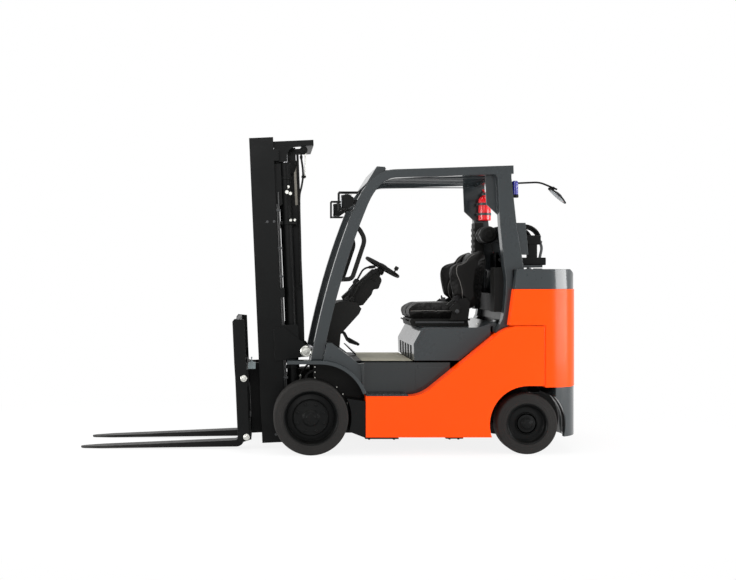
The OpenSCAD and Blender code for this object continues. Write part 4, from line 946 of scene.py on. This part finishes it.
# Blue strobe behind the left rear leg
c = P(-1550, GUARD_Y, 1940)
ribs = [(0.0, 0.010), (0.022, 0.010)]
for i in range(9):
    z = 0.012 + 0.0105 * i
    ribs += [(0.0245, z), (0.0232, z + 0.004), (0.0245, z + 0.008)]
bm = bmesh.new()
turn(bm, c, UP, ribs + [(0.023, 0.108), (0.016, 0.115), (0, 0.117)], 36)
strobe = piece("strobe_lens", bm, "blue", "chassis", sharp=50)
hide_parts("rear_lamps")
bm = bmesh.new()
turn(bm, c, UP, [(0.018, -0.006), (0.026, -0.005), (0.026, 0.009), (0.022, 0.012)], 32)
brick(bm, c + Vector((0.010, -0.016, 0.035)), P(-1502, GUARD_Y + 16, 2030))
brick(bm, c + Vector((-0.022, -0.020, -0.012)), c + Vector((0.040, 0.020, -0.004)))
piece("strobe_base", bm, "black", "chassis", bevel=0.0015)

# Spot lamp on its arm
bm = bmesh.new()
arm = [P(-1530, GUARD_Y, 2036), P(-1735, GUARD_Y, 2045), P(-1868, GUARD_Y, 1990)]
sweep(bm, rounded(arm, 0.04), round_section(0.007, 12))
for x, z in ((-1838, 2001), (-1812, 1996)):
    turn(bm, P(x, GUARD_Y - 14, z), Y, [(0.009, 0), (0.010, 0.002), (0.010, 0.026), (0.009, 0.028)], 16)
brick(bm, P(-1846, GUARD_Y - 8, 1984), P(-1828, GUARD_Y + 8, 2006))
piece("spot_arm", bm, "black", "chassis")
a, b = P(-1806, GUARD_Y, 2001), P(-1936, GUARD_Y, 1884)
w = (b - a).normalized()
flat = Vector((-w.z, 0, w.x))
r = (b - a).length / 2
bm, lens = meshes(2)
turn(bm, (a + b) / 2, flat, [(0, -0.019), (r * 0.30, -0.0175), (r * 0.34, -0.0195), (r * 0.40, -0.0165),
                             (r * 0.66, -0.011), (r * 0.94, -0.003), (r, 0), (r * 0.98, 0.005),
                             (r * 0.90, 0.006), (r * 0.86, 0.003), (0, 0.003)], 48)
turn(lens, (a + b) / 2, flat, [(r * 0.87, 0.0032), (r * 0.80, 0.007), (r * 0.5, 0.011), (0, 0.0125)], 40)
for shell in (bm, lens):
    for vert in shell.verts:
        vert.co.y = a.y + (vert.co.y - a.y) * 0.6
piece("spot_housing", bm, "black", "chassis")
piece("spot_lens", lens, "lens", "chassis", sharp=60)

# Fire extinguisher
c = P(-1500, -368, 1800)
bm = bmesh.new()
turn(bm, c, UP, [(0.030, 0.002), (0.046, 0.0), (0.0505, 0.004), (0.0515, 0.010), (0.0515, 0.160),
                 (0.050, 0.176), (0.044, 0.190), (0.034, 0.199), (0.023, 0.204), (0.022, 0.212)], 48)
bottle = piece("extinguisher_body", bm, "red", "chassis", sharp=45)
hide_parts("fire_extinguisher")
bm = bmesh.new()
for z in (0.044, 0.128):
    turn(bm, c + UP * z, UP, drum(0.0532, 0.0517, 0.021, 0.001), 48)
    brick(bm, c + Vector((0.050, -0.012, z)), c + Vector((0.066, 0.012, z + 0.021)))
    brick(bm, c + Vector((-0.012, -0.062, z)), c + Vector((0.012, -0.050, z + 0.021)))
turn(bm, c + UP * 0.205, UP, [(0.020, 0), (0.021, 0.002), (0.021, 0.016), (0.016, 0.019), (0.016, 0.030),
                              (0.011, 0.034), (0, 0.035)], 24)
turn(bm, c + Vector((0.016, 0, 0.220)), AHEAD,
     [(0.014, 0), (0.015, 0.002), (0.015, 0.010), (0.012, 0.012)], 24)
piece("extinguisher_fittings", bm, "zinc_dark", "chassis")
bm = bmesh.new()
for rise, z in ((0.012, 0.226), (0.040, 0.236)):
    lever = [c + Vector((0, y, z + dz)) for y, dz in ((0.014, 0), (-0.030, rise * 0.3), (-0.080, rise))]
    sweep(bm, rounded(lever, 0.02), flat_section(0.018, 0.0035, 0.0016))
piece("extinguisher_levers", bm, "red", "chassis")

# Grab handles on the guard's front legs
HANDLE = ((-330, 1722), (-372, 1692), (-416, 1612), (-322, 1330), (-300, 1312), (-214, 1308))
bm, bolts = meshes(2)
for side in SIDES:
    y = side * GUARD_Y
    sweep(bm, rounded([P(x, y, z) for x, z in HANDLE], 0.045, 6), flat_section(0.026, 0.034, 0.008))
    for x, z in ((-340, 1712), (-228, 1309)):
        brick(bm, P(x - 22, y - 22, z - 16), P(x + 18, y + 22, z + 16))
        for d in (-8.4, 8.4):
            bolt(bolts, P(x - 4, y + side * 22, z + d), Y * side, 0.006)
handles = piece("grab_bars", bm, "plastic", "chassis", bevel=0.0015)
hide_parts("grab_handles")
piece("grab_bolts", bolts, "zinc_dark", "chassis")

# Steering wheel: horn pad, hub, and grip bumps round the rim's underside
RIM_R, GRIP_DROP, GRIPS = 0.143, 0.0098, 64
hub = P(-600, 0, 1406)
axis = Vector((-math.sin(COLUMN_LEAN), 0, math.cos(COLUMN_LEAN)))
u, v, _ = basis(axis)
bm = bmesh.new()
turn(bm, hub + axis * 0.010, axis,
     [(0.040, 0), (0.0415, 0.003), (0.040, 0.008), (0.034, 0.013), (0.020, 0.016), (0, 0.017)], 40)
turn(bm, hub - axis * 0.060, axis,
     [(0.024, 0), (0.032, 0.004), (0.034, 0.020), (0.030, 0.040), (0.026, 0.046)], 32)
piece("horn_pad", bm, "plastic", "handwheel")
bm = bmesh.new()
for i in range(GRIPS):
    a = 2 * math.pi * i / GRIPS
    c = hub + (u * math.cos(a) + v * math.sin(a)) * (RIM_R - GRIP_DROP) - axis * GRIP_DROP
    turn(bm, c - axis * 0.003, axis, [(0.001, -0.001), (0.0032, 0), (0.0032, 0.003), (0.001, 0.004)], 8)
piece("rim_grip", bm, "plastic", "handwheel")

# Instrument panel, switches and boots on the cowl, and the levers' knobs
LEVERS_Y = (-112, -156, -200)
bm, glass, knobs = meshes(3)
slab(bm, P, -95, 190, ((-300, 1143), (-302, 1172), (-352, 1160), (-370, 1131)))
slab(glass, P, -82, 164, ((-353.5, 1158), (-369.5, 1133), (-370.5, 1133.6), (-354.5, 1158.6)))
for y in (120, 146, 172):
    turn(knobs, P(-330, y, 1138), Vector((-0.15, 0, 1)),
         [(0.011, -0.004), (0.012, 0.0), (0.012, 0.010), (0.009, 0.013), (0, 0.0135)], 20)
for y in LEVERS_Y:
    turn(knobs, P(-317, y, 1130), P(-352, y, 1232) - P(-320, y, 1138),
         [(0.021, 0.004), (0.019, 0.016), (0.0205, 0.020), (0.016, 0.028), (0.017, 0.032), (0.012, 0.042),
          (0.0082, 0.047)], 24)
turn(knobs, P(-341, 100, 1133), P(-404, 150, 1262) - P(-343, 102, 1138),
     [(0.026, 0.004), (0.022, 0.016), (0.024, 0.020), (0.018, 0.028), (0.019, 0.032), (0.0115, 0.044)], 24)
piece("dash_panel", bm, "plastic", "chassis", bevel=0.003)
piece("dash_glass", glass, "screen", "chassis")
piece("dash_switches", knobs, "plastic", "chassis")
bm = bmesh.new()
for y in LEVERS_Y:
    a, b = P(-388, y, 1275), P(-414, y, 1308)
    turn(bm, a, b - a, [(0.008, -0.004), (0.0135, 0.0), (0.0172, 0.010), (0.0180, 0.022), (0.0172, 0.034),
                        (0.011, 0.043), (0, 0.046)], 28)
a, b = P(-498, 155, 1350), P(-540, 157, 1391)
turn(bm, a, b - a, [(0.009, -0.002), (0.0128, 0.004), (0.0146, 0.016), (0.0134, 0.028), (0.0146, 0.040),
                    (0.0128, 0.054), (0.006, 0.061), (0, 0.062)], 28)
piece("lever_knobs", bm, "rubber", "chassis", sharp=60)

# Cover round the steering column, and the brake lever beside it
COLUMN = ((-517, 1368), (-580, 1325), (-590, 1300), (-562, 1232), (-522, 1229), (-508, 1188), (-440, 1104),
          (-400, 1096), (-326, 1150), (-344, 1209), (-418, 1299), (-487, 1360))
bm = bmesh.new()
slab(bm, P, -66, 132, COLUMN)
slab(bm, P, -70, 140, ((-500, 1330), (-548, 1300), (-540, 1280), (-490, 1312)))
piece("column_cover", bm, "plastic", "chassis", bevel=0.010)
foot, knee, bend, tip = P(-286, 186, 1132), P(-424, 186, 1384), P(-456, 182, 1402), P(-512, 174, 1408)
bm = bmesh.new()
sweep(bm, rounded([foot, knee, bend, tip], 0.03), round_section(0.0075, 12))
turn(bm, P(-286, 186, 1130), knee - foot,
     [(0.024, 0.0), (0.022, 0.014), (0.0235, 0.018), (0.017, 0.030), (0.018, 0.034), (0.010, 0.048)], 24)
turn(bm, P(-470, 180, 1403.5), tip - bend,
     [(0.008, 0), (0.0115, 0.003), (0.0125, 0.030), (0.0115, 0.052), (0.006, 0.057), (0, 0.058)], 20)
piece("brake_lever", bm, "rubber", "chassis")

# Throttle pedal with its ribs, the pads of the other pedals, and ribs on all three
PAD = ((-326, 834), (-336, 839), (-404, 802), (-402, 790), (-390, 784), (-352, 806))
bm = bmesh.new()
slab(bm, P, -172, 72, ((-300, 784), (-307, 788), (-400, 702), (-396, 693), (-388, 695)))
for i in range(6):
    t = (i + 0.5) / 6
    x, z = -312 - 80 * t, 783 - 74 * t
    slab(bm, P, -168, 64, ((x - 4, z + 1), (x + 4, z + 7), (x + 3, z + 8), (x - 5, z + 2)))
for yc, width in ((95, 94), (-30, 74)):
    slab(bm, P, yc - width / 2, width, PAD)
piece("pedal_pads", bm, "rubber", "chassis", bevel=0.001)
bm = bmesh.new()
for yc, width in ((95, 90), (-30, 70), (-140, 60)):
    half = width / 2 - 4
    for i in range(7):
        t = (i + 0.5) / 7
        x, z = -330 - 42 * t, 822 - 22 * t
        brick(bm, P(x - 2.2, yc - half, z - 1), P(x + 2.2, yc + half, z + 3.5))
piece("pedal_ribs", bm, "rubber", "chassis", bevel=0.0008)

# Ribbed floor mat, and studs on the steps
mat_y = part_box("floor_plate")[1][1] * 1000 - 12
mat_top = FLOOR_Z + 1.2
bm = bmesh.new()
for i in range(22):
    x = -775 + 17.4 * i
    sweep(bm, [P(x, 5 - mat_y, mat_top), P(x, mat_y - 5, mat_top)],
          [(-0.0055, -0.001), (0.0055, -0.001), (0.004, 0.004), (-0.004, 0.004)])
brick(bm, P(-783, -mat_y, FLOOR_Z - 0.5), P(-396, mat_y, mat_top))
# The mat's pale colour is a painted reflection
piece("floor_mat", bm, "mat", "chassis")
bm = bmesh.new()
for side in SIDES:
    for i in range(13):
        for k in range(3):
            c = P(-712 + 24 * i, side * (548 + 14 * k + (0 if i % 2 else -7)), STEP_Z + 8)
            turn(bm, c, UP, [(0.0058, -0.001), (0.0056, 0.001), (0.0042, 0.0022), (0, 0.0024)], 10, 0.3)
piece("step_studs", bm, "grey", "chassis")

# Hood: pressed lip along each side, front louvres and two bolts
hood_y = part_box("engine_hood")[1][1] * 1000
bm, dark, zinc = meshes(3)
for i in range(5):
    y = -304 + 152 * i
    slab(dark, P, y - 38, 76, ((-787.0, 702), (-784.0, 800), (-786.0, 800), (-789.0, 702)))
    for k in range(4):
        slab(bm, P, y - 40 + 25.5 * k, 3.5, ((-786.2, 699), (-783.0, 803), (-787.0, 803), (-790.0, 699)))
for side in SIDES:
    lip = [P(x, side * hood_y, z) for x, z in ((-1150, 942), (-900, 942), (-845, 900), (-810, 820))]
    sweep(bm, rounded(lip, 0.03), round_section(0.0028, 8))
    bolt(zinc, P(-1300, side * 300, 962), UP, 0.008)
piece("hood_pressings", bm, "grey", "hood", bevel=0.001)
# The dark slats in the louvres are painted shade in their openings
piece("hood_slots", dark, "slot_shade", "hood")
piece("hood_bolts", zinc, "zinc", "hood")


# Seat
def vertex_values(me, normals=False):
    """A mesh's places or normals, one row for each vertex."""
    out = np.empty(len(me.vertices) * 3)
    if normals:
        me.vertex_normals.foreach_get("vector", out)
    else:
        me.vertices.foreach_get("co", out)
    return out.reshape(-1, 3)


def apply_modifiers(o):
    flat = bpy.data.meshes.new_from_object(o.evaluated_get(bpy.context.evaluated_depsgraph_get()))
    o.modifiers.clear()
    o.data = flat
    return flat


def swollen(name, node, cap, pressure, shrink=0.008):
    """A padded copy of a CAD solid: a smaller skin, remeshed and blown up as cloth, its movement capped."""
    o = bpy.data.objects.new(name, NODES[node].data.copy())
    scene.collection.objects.link(o)
    bpy.context.view_layer.objects.active = o
    o.modifiers.new("weld", "WELD").merge_threshold = 0.00002
    remesh = o.modifiers.new("remesh", "REMESH")
    remesh.mode = "VOXEL"
    remesh.voxel_size = 0.006
    remesh.use_smooth_shade = True
    skin = apply_modifiers(o)
    # Draw the skin in along its normals, then soften the corners
    drawn_in = vertex_values(skin) - vertex_values(skin, True) * shrink
    skin.vertices.foreach_set("co", drawn_in.ravel())
    smooth = o.modifiers.new("soften", "SMOOTH")
    smooth.factor = 0.5
    smooth.iterations = 10
    skin = apply_modifiers(o)
    rest = vertex_values(skin)
    cloth = o.modifiers.new("cloth", "CLOTH")
    s = cloth.settings
    s.quality = 4
    s.mass = 0.25
    s.tension_stiffness = s.compression_stiffness = 25
    s.shear_stiffness = 12
    s.bending_stiffness = 2.0
    s.use_pressure = True
    s.uniform_pressure_force = pressure
    s.effector_weights.gravity = 0
    cloth.collision_settings.use_collision = False
    cloth.point_cache.frame_start, cloth.point_cache.frame_end = 1, 20
    for f in range(1, 21):
        scene.frame_set(f)
    skin = apply_modifiers(o)
    scene.frame_set(1)
    move = vertex_values(skin) - rest
    size = np.linalg.norm(move, axis=1, keepdims=True)
    return o, rest + move * np.minimum(1.0, cap / np.maximum(size, 1e-9))


def groove(points, line, width, depth, normals):
    """Presses points in along a seam line, as a sewn channel does."""
    best = np.full(len(points), 1e9)
    for a, b in zip(line, line[1:]):
        a, b = np.array(a), np.array(b)
        d = b - a
        t = np.clip(((points - a) @ d) / max(d @ d, 1e-12), 0, 1)
        best = np.minimum(best, np.linalg.norm(points - a - t[:, None] * d, axis=1))
    press = depth * np.exp(-(best / width) ** 2)
    return points - normals * press[:, None]


def pad(name, node, cap, pressure, lines):
    """A finished pad: swollen skin, seams pressed in, one subdivision, and piping laid in the seams."""
    o, pts = swollen(name, node, cap, pressure)
    me = o.data
    me.vertices.foreach_set("co", pts.ravel())
    me.update()
    normals = vertex_values(me, True)
    tree = BVHTree.FromObject(o, bpy.context.evaluated_depsgraph_get())
    laid = []
    for line in lines:
        path, _ = spline(line, 0.010)
        laid.append([tree.find_nearest(p)[0] for p in path])
    for path in laid:
        pts = groove(pts, path, 0.009, 0.0055, normals)
    # Creases along the seams, about a millimetre deep
    rng = np.random.default_rng(11)
    for path in laid:
        for p in path[::3]:
            d = np.linalg.norm(pts - np.array(p), axis=1)
            pts = pts - normals * (0.0012 * rng.random() * np.exp(-(d / 0.02) ** 2))[:, None]
    me.vertices.foreach_set("co", pts.ravel())
    me.polygons.foreach_set("use_smooth", [True] * len(me.polygons))
    me.materials.clear()
    me.materials.append(MAT["vinyl"])
    sub = o.modifiers.new("subdivide", "SUBSURF")
    sub.levels = sub.render_levels = 1
    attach(o, "hood")
    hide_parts(node)
    bpy.context.view_layer.update()
    tree = BVHTree.FromObject(o, bpy.context.evaluated_depsgraph_get())
    bm = bmesh.new()
    for path in laid:
        hits = [tree.find_nearest(p) for p in path]
        sweep(bm, [place + normal * 0.0012 for place, normal, _, _ in hits], round_section(0.0030, 8))
    piece(name + "_piping", bm, "piping", "hood")


def seams(y, outline):
    """The same seam on both sides of the seat, from (x, z) in millimetres."""
    return [[P(x, side * y, z) for x, z in outline] for side in SIDES]


def cross_seam(x, z, half):
    return [P(x, y, z) for y in (-half, -80, 0, 80, half)]


back_lines = seams(247, ((-1290, 1536), (-1225, 1490), (-1170, 1440), (-1148, 1369), (-1175, 1289),
                         (-1192, 1219), (-1196, 1150)))
back_lines += seams(170, ((-1178, 1110), (-1165, 1180), (-1160, 1240), (-1180, 1330), (-1215, 1420),
                          (-1262, 1490), (-1320, 1552)))
back_lines += [cross_seam(-1200, 1200, 165), cross_seam(-1235, 1320, 165)]
cushion_lines = seams(165, ((-1180, 1110), (-1100, 1120), (-980, 1118), (-870, 1116), (-800, 1108),
                            (-768, 1085), (-768, 1040)))
cushion_lines += seams(240, ((-1185, 1060), (-1050, 1066), (-900, 1066), (-790, 1062)))
cushion_lines += [cross_seam(x, 1120, 160) for x in (-900, -1040)]
pad("seat_cushion_pad", "seat_cushion", 0.024, 4.0, cushion_lines)
pad("seat_back_pad", "seat_back", 0.024, 4.0, back_lines)

# Belt buckles and webbing, slides, and the bar that frees them
BELT = flat_section(0.0022, 0.046, 0.0009)
SHORT_BELT = ((-1128, 283, 1140), (-1150, 276, 1168), (-1168, 262, 1158), (-1176, 258, 1110))
LONG_BELT = ((-1128, -283, 1140), (-1118, -262, 1160), (-1110, -236, 1142), (-1108, -120, 1140),
             (-1110, -20, 1141))
SLIDE_BAR = ((-815, 150, 985), (-785, 150, 985), (-770, 150, 992), (-770, -150, 992), (-785, -150, 985),
             (-815, -150, 985))
bm, steel, web = meshes(3)
for side in SIDES:
    slab(bm, P, side * 268, side * 26, ((-1085, 1080), (-1128, 1042), (-1178, 1088), (-1140, 1142)))
    slab(bm, P, side * 270, side * 22, ((-1062, 1112), (-1080, 1092), (-1128, 1130), (-1108, 1150)))
    bolt(steel, P(-1146, side * 295, 1062), Y * side, 0.011)
    brick(steel, P(-1210, side * 225, 968), P(-830, side * 240, 982))
sweep(web, rounded([P(*p) for p in SHORT_BELT], 0.02), BELT)
sweep(web, rounded([P(*p) for p in LONG_BELT], 0.03), BELT)
sweep(bm, rounded([P(*p) for p in SLIDE_BAR], 0.02), round_section(0.006, 10))
piece("belt_buckles", bm, "plastic", "hood", bevel=0.002)
piece("belt_webbing", web, "webbing", "hood")
piece("seat_slides", steel, "zinc_dark", "hood")

# Gas bottle bracket: pads in its straps, toggle arms, hinge pins and bolts
STRAP_X, STRAP_Y, STRAP_Z, STRAP_R = -1706, 132, 1606, 119
bm, steel = meshes(2)
for side in SIDES:
    y = side * STRAP_Y
    arc = arc_points(STRAP_X, STRAP_Z, STRAP_R, 24, 164, 14)
    sweep(bm, [P(x, y, z) for x, z in arc], flat_section(0.004, 0.040, 0.0015))
    toggle = [P(x, y, z) for x, z in ((-1826, 1612), (-1846, 1560), (-1832, 1500), (-1824, 1462))]
    sweep(steel, rounded(toggle, 0.03), flat_section(0.006, 0.022, 0.002))
    turn(steel, P(-1826, y - 26, 1608), Y, drum(0.009, 0.008, 0.052, 0.001), 16)
    bolt(steel, P(-1606, side * 190, 1560), -AHEAD, 0.011)
    bolt(steel, P(-1590, side * 192, 1470), Y * side, 0.011)
    bolt(steel, P(-1700, side * 195, 1440), Y * side, 0.011)
piece("bottle_pads", bm, "rubber", "chassis")
piece("bottle_toggles", steel, "zinc_dark", "chassis")

# Cradle under the bottle, its post and valve guard, and the filter box in front of it
bm = bmesh.new()
brick(bm, P(-1852, -228, 1421), P(-1660, 228, 1480))
brick(bm, P(-1788, 150, 1470), P(-1716, 214, 1592))
brick(bm, P(-1816, 120, 1582), P(-1640, 216, 1654))
brick(bm, P(-1650, -428, 1388), P(-1560, -236, 1532))
for i in range(5):
    brick(bm, P(-1654, -408 + 40 * i, 1402), P(-1556, -396 + 40 * i, 1520))
piece("bottle_cradle", bm, "black", "chassis", bevel=0.006)

# Air cleaner in front of the cross plate, with its straps and the neck into the intake
CLEANER_X, CLEANER_Z = -1470, 1672
bm, steel = meshes(2)
profile = [(0.030, 0), (0.058, 0.002), (0.064, 0.010)]
for i in range(8):
    h = 0.018 + 0.024 * i
    profile += [(0.066, h), (0.0685, h + 0.004), (0.0685, h + 0.012), (0.066, h + 0.016)]
profile += [(0.064, 0.214), (0.056, 0.224), (0.030, 0.228), (0.028, 0.236)]
turn(bm, P(CLEANER_X, -280, CLEANER_Z), Y, profile, 40)
turn(bm, P(-1446, -297, CLEANER_Z), Y, [(0.030, 0), (0.030, 0.008), (0.026, 0.010), (0.026, 0.022)], 28)
for y in (-246, -116):
    turn(steel, P(CLEANER_X, y, CLEANER_Z), Y, drum(0.0702, 0.0687, 0.018, 0.001), 40)
    brick(steel, P(-1585, y + 3, 1612), P(-1505, y + 15, 1632))
    bolt(steel, P(-1401, y + 9, CLEANER_Z), AHEAD, 0.008)
piece("air_cleaner", bm, "plastic", "chassis")
piece("air_cleaner_straps", steel, "zinc_dark", "chassis")

# Counterweight: lifting eyes, and bolts on the cap and the jaw
EYE = [(0.034, -0.002), (0.036, 0.003), (0.033, 0.007), (0.022, 0.007), (0.020, 0.001), (0, 0.0)]
bm, steel = meshes(2)
for side in SIDES:
    turn(bm, P(-1760, side * 330, CAP_TOP), UP, EYE, 32)
    for y in (420, 180):
        bolt(steel, P(-1668, side * y, CAP_TOP), UP, 0.016)
    for z in (255, 330):
        bolt(steel, P(TAIL_X + 109, side * 42, z), -AHEAD, 0.012)
piece("weight_eyes", bm, "grey", "chassis")
piece("weight_bolts", steel, "zinc_dark", "chassis")

# Beads and bolts inside the overhead guard's roof
bm = bmesh.new()
for side in SIDES:
    y = side * 430
    sweep(bm, [P(-690, y, 2082), P(-1380, y, 2082)], round_section(0.004, 8))
    for x in (-700, -1040, -1360):
        bolt(bm, P(x, y, 2110), Y * -side, 0.010)
piece("guard_beads", bm, "grey", "chassis")

# Carriage and forks
LATCH = [(0.011, 0), (0.012, 0.002), (0.012, 0.018), (0.008, 0.022), (0.008, 0.030), (0.010, 0.032),
         (0.010, 0.040), (0.007, 0.043)]
block, bright, steel = meshes(3)
backrest_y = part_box("load_backrest")[1][1] * 1000
for side in SIDES:
    for x, z in ((502, 563), (481, 122)):
        bolt(bright, P(x, side * backrest_y, z), Y * side, 0.0165)
for node in ("fork_left", "fork_right"):
    lo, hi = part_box(node)
    c = Vector((P(542, 0, 0).x, (lo[1] + hi[1]) / 2, hi[2]))
    turn(steel, c - UP * 0.004, UP, LATCH, 20)
    handle = [c + Vector((0, y, z)) for y, z in ((0, 0.030), (0.030, 0.034), (0.052, 0.020))]
    sweep(steel, rounded(handle, 0.015), round_section(0.0045, 10))
piece("fork_latches", steel, "zinc_dark", "carriage")
piece("carriage_bolts", bright, "zinc", "carriage")

# Valve block on the carriage's top bar, with its lever
brick(block, MAST(454, 360, 649), MAST(396, 430, 694))
turn(block, MAST(425, 395, 694), mast_up, [(0.014, -0.001), (0.014, 0.006), (0.009, 0.010), (0.004, 0.011),
                                           (0.004, 0.034), (0.006, 0.036), (0.006, 0.042), (0, 0.044)], 16)
piece("carriage_block", block, "valve", "carriage", bevel=0.003)
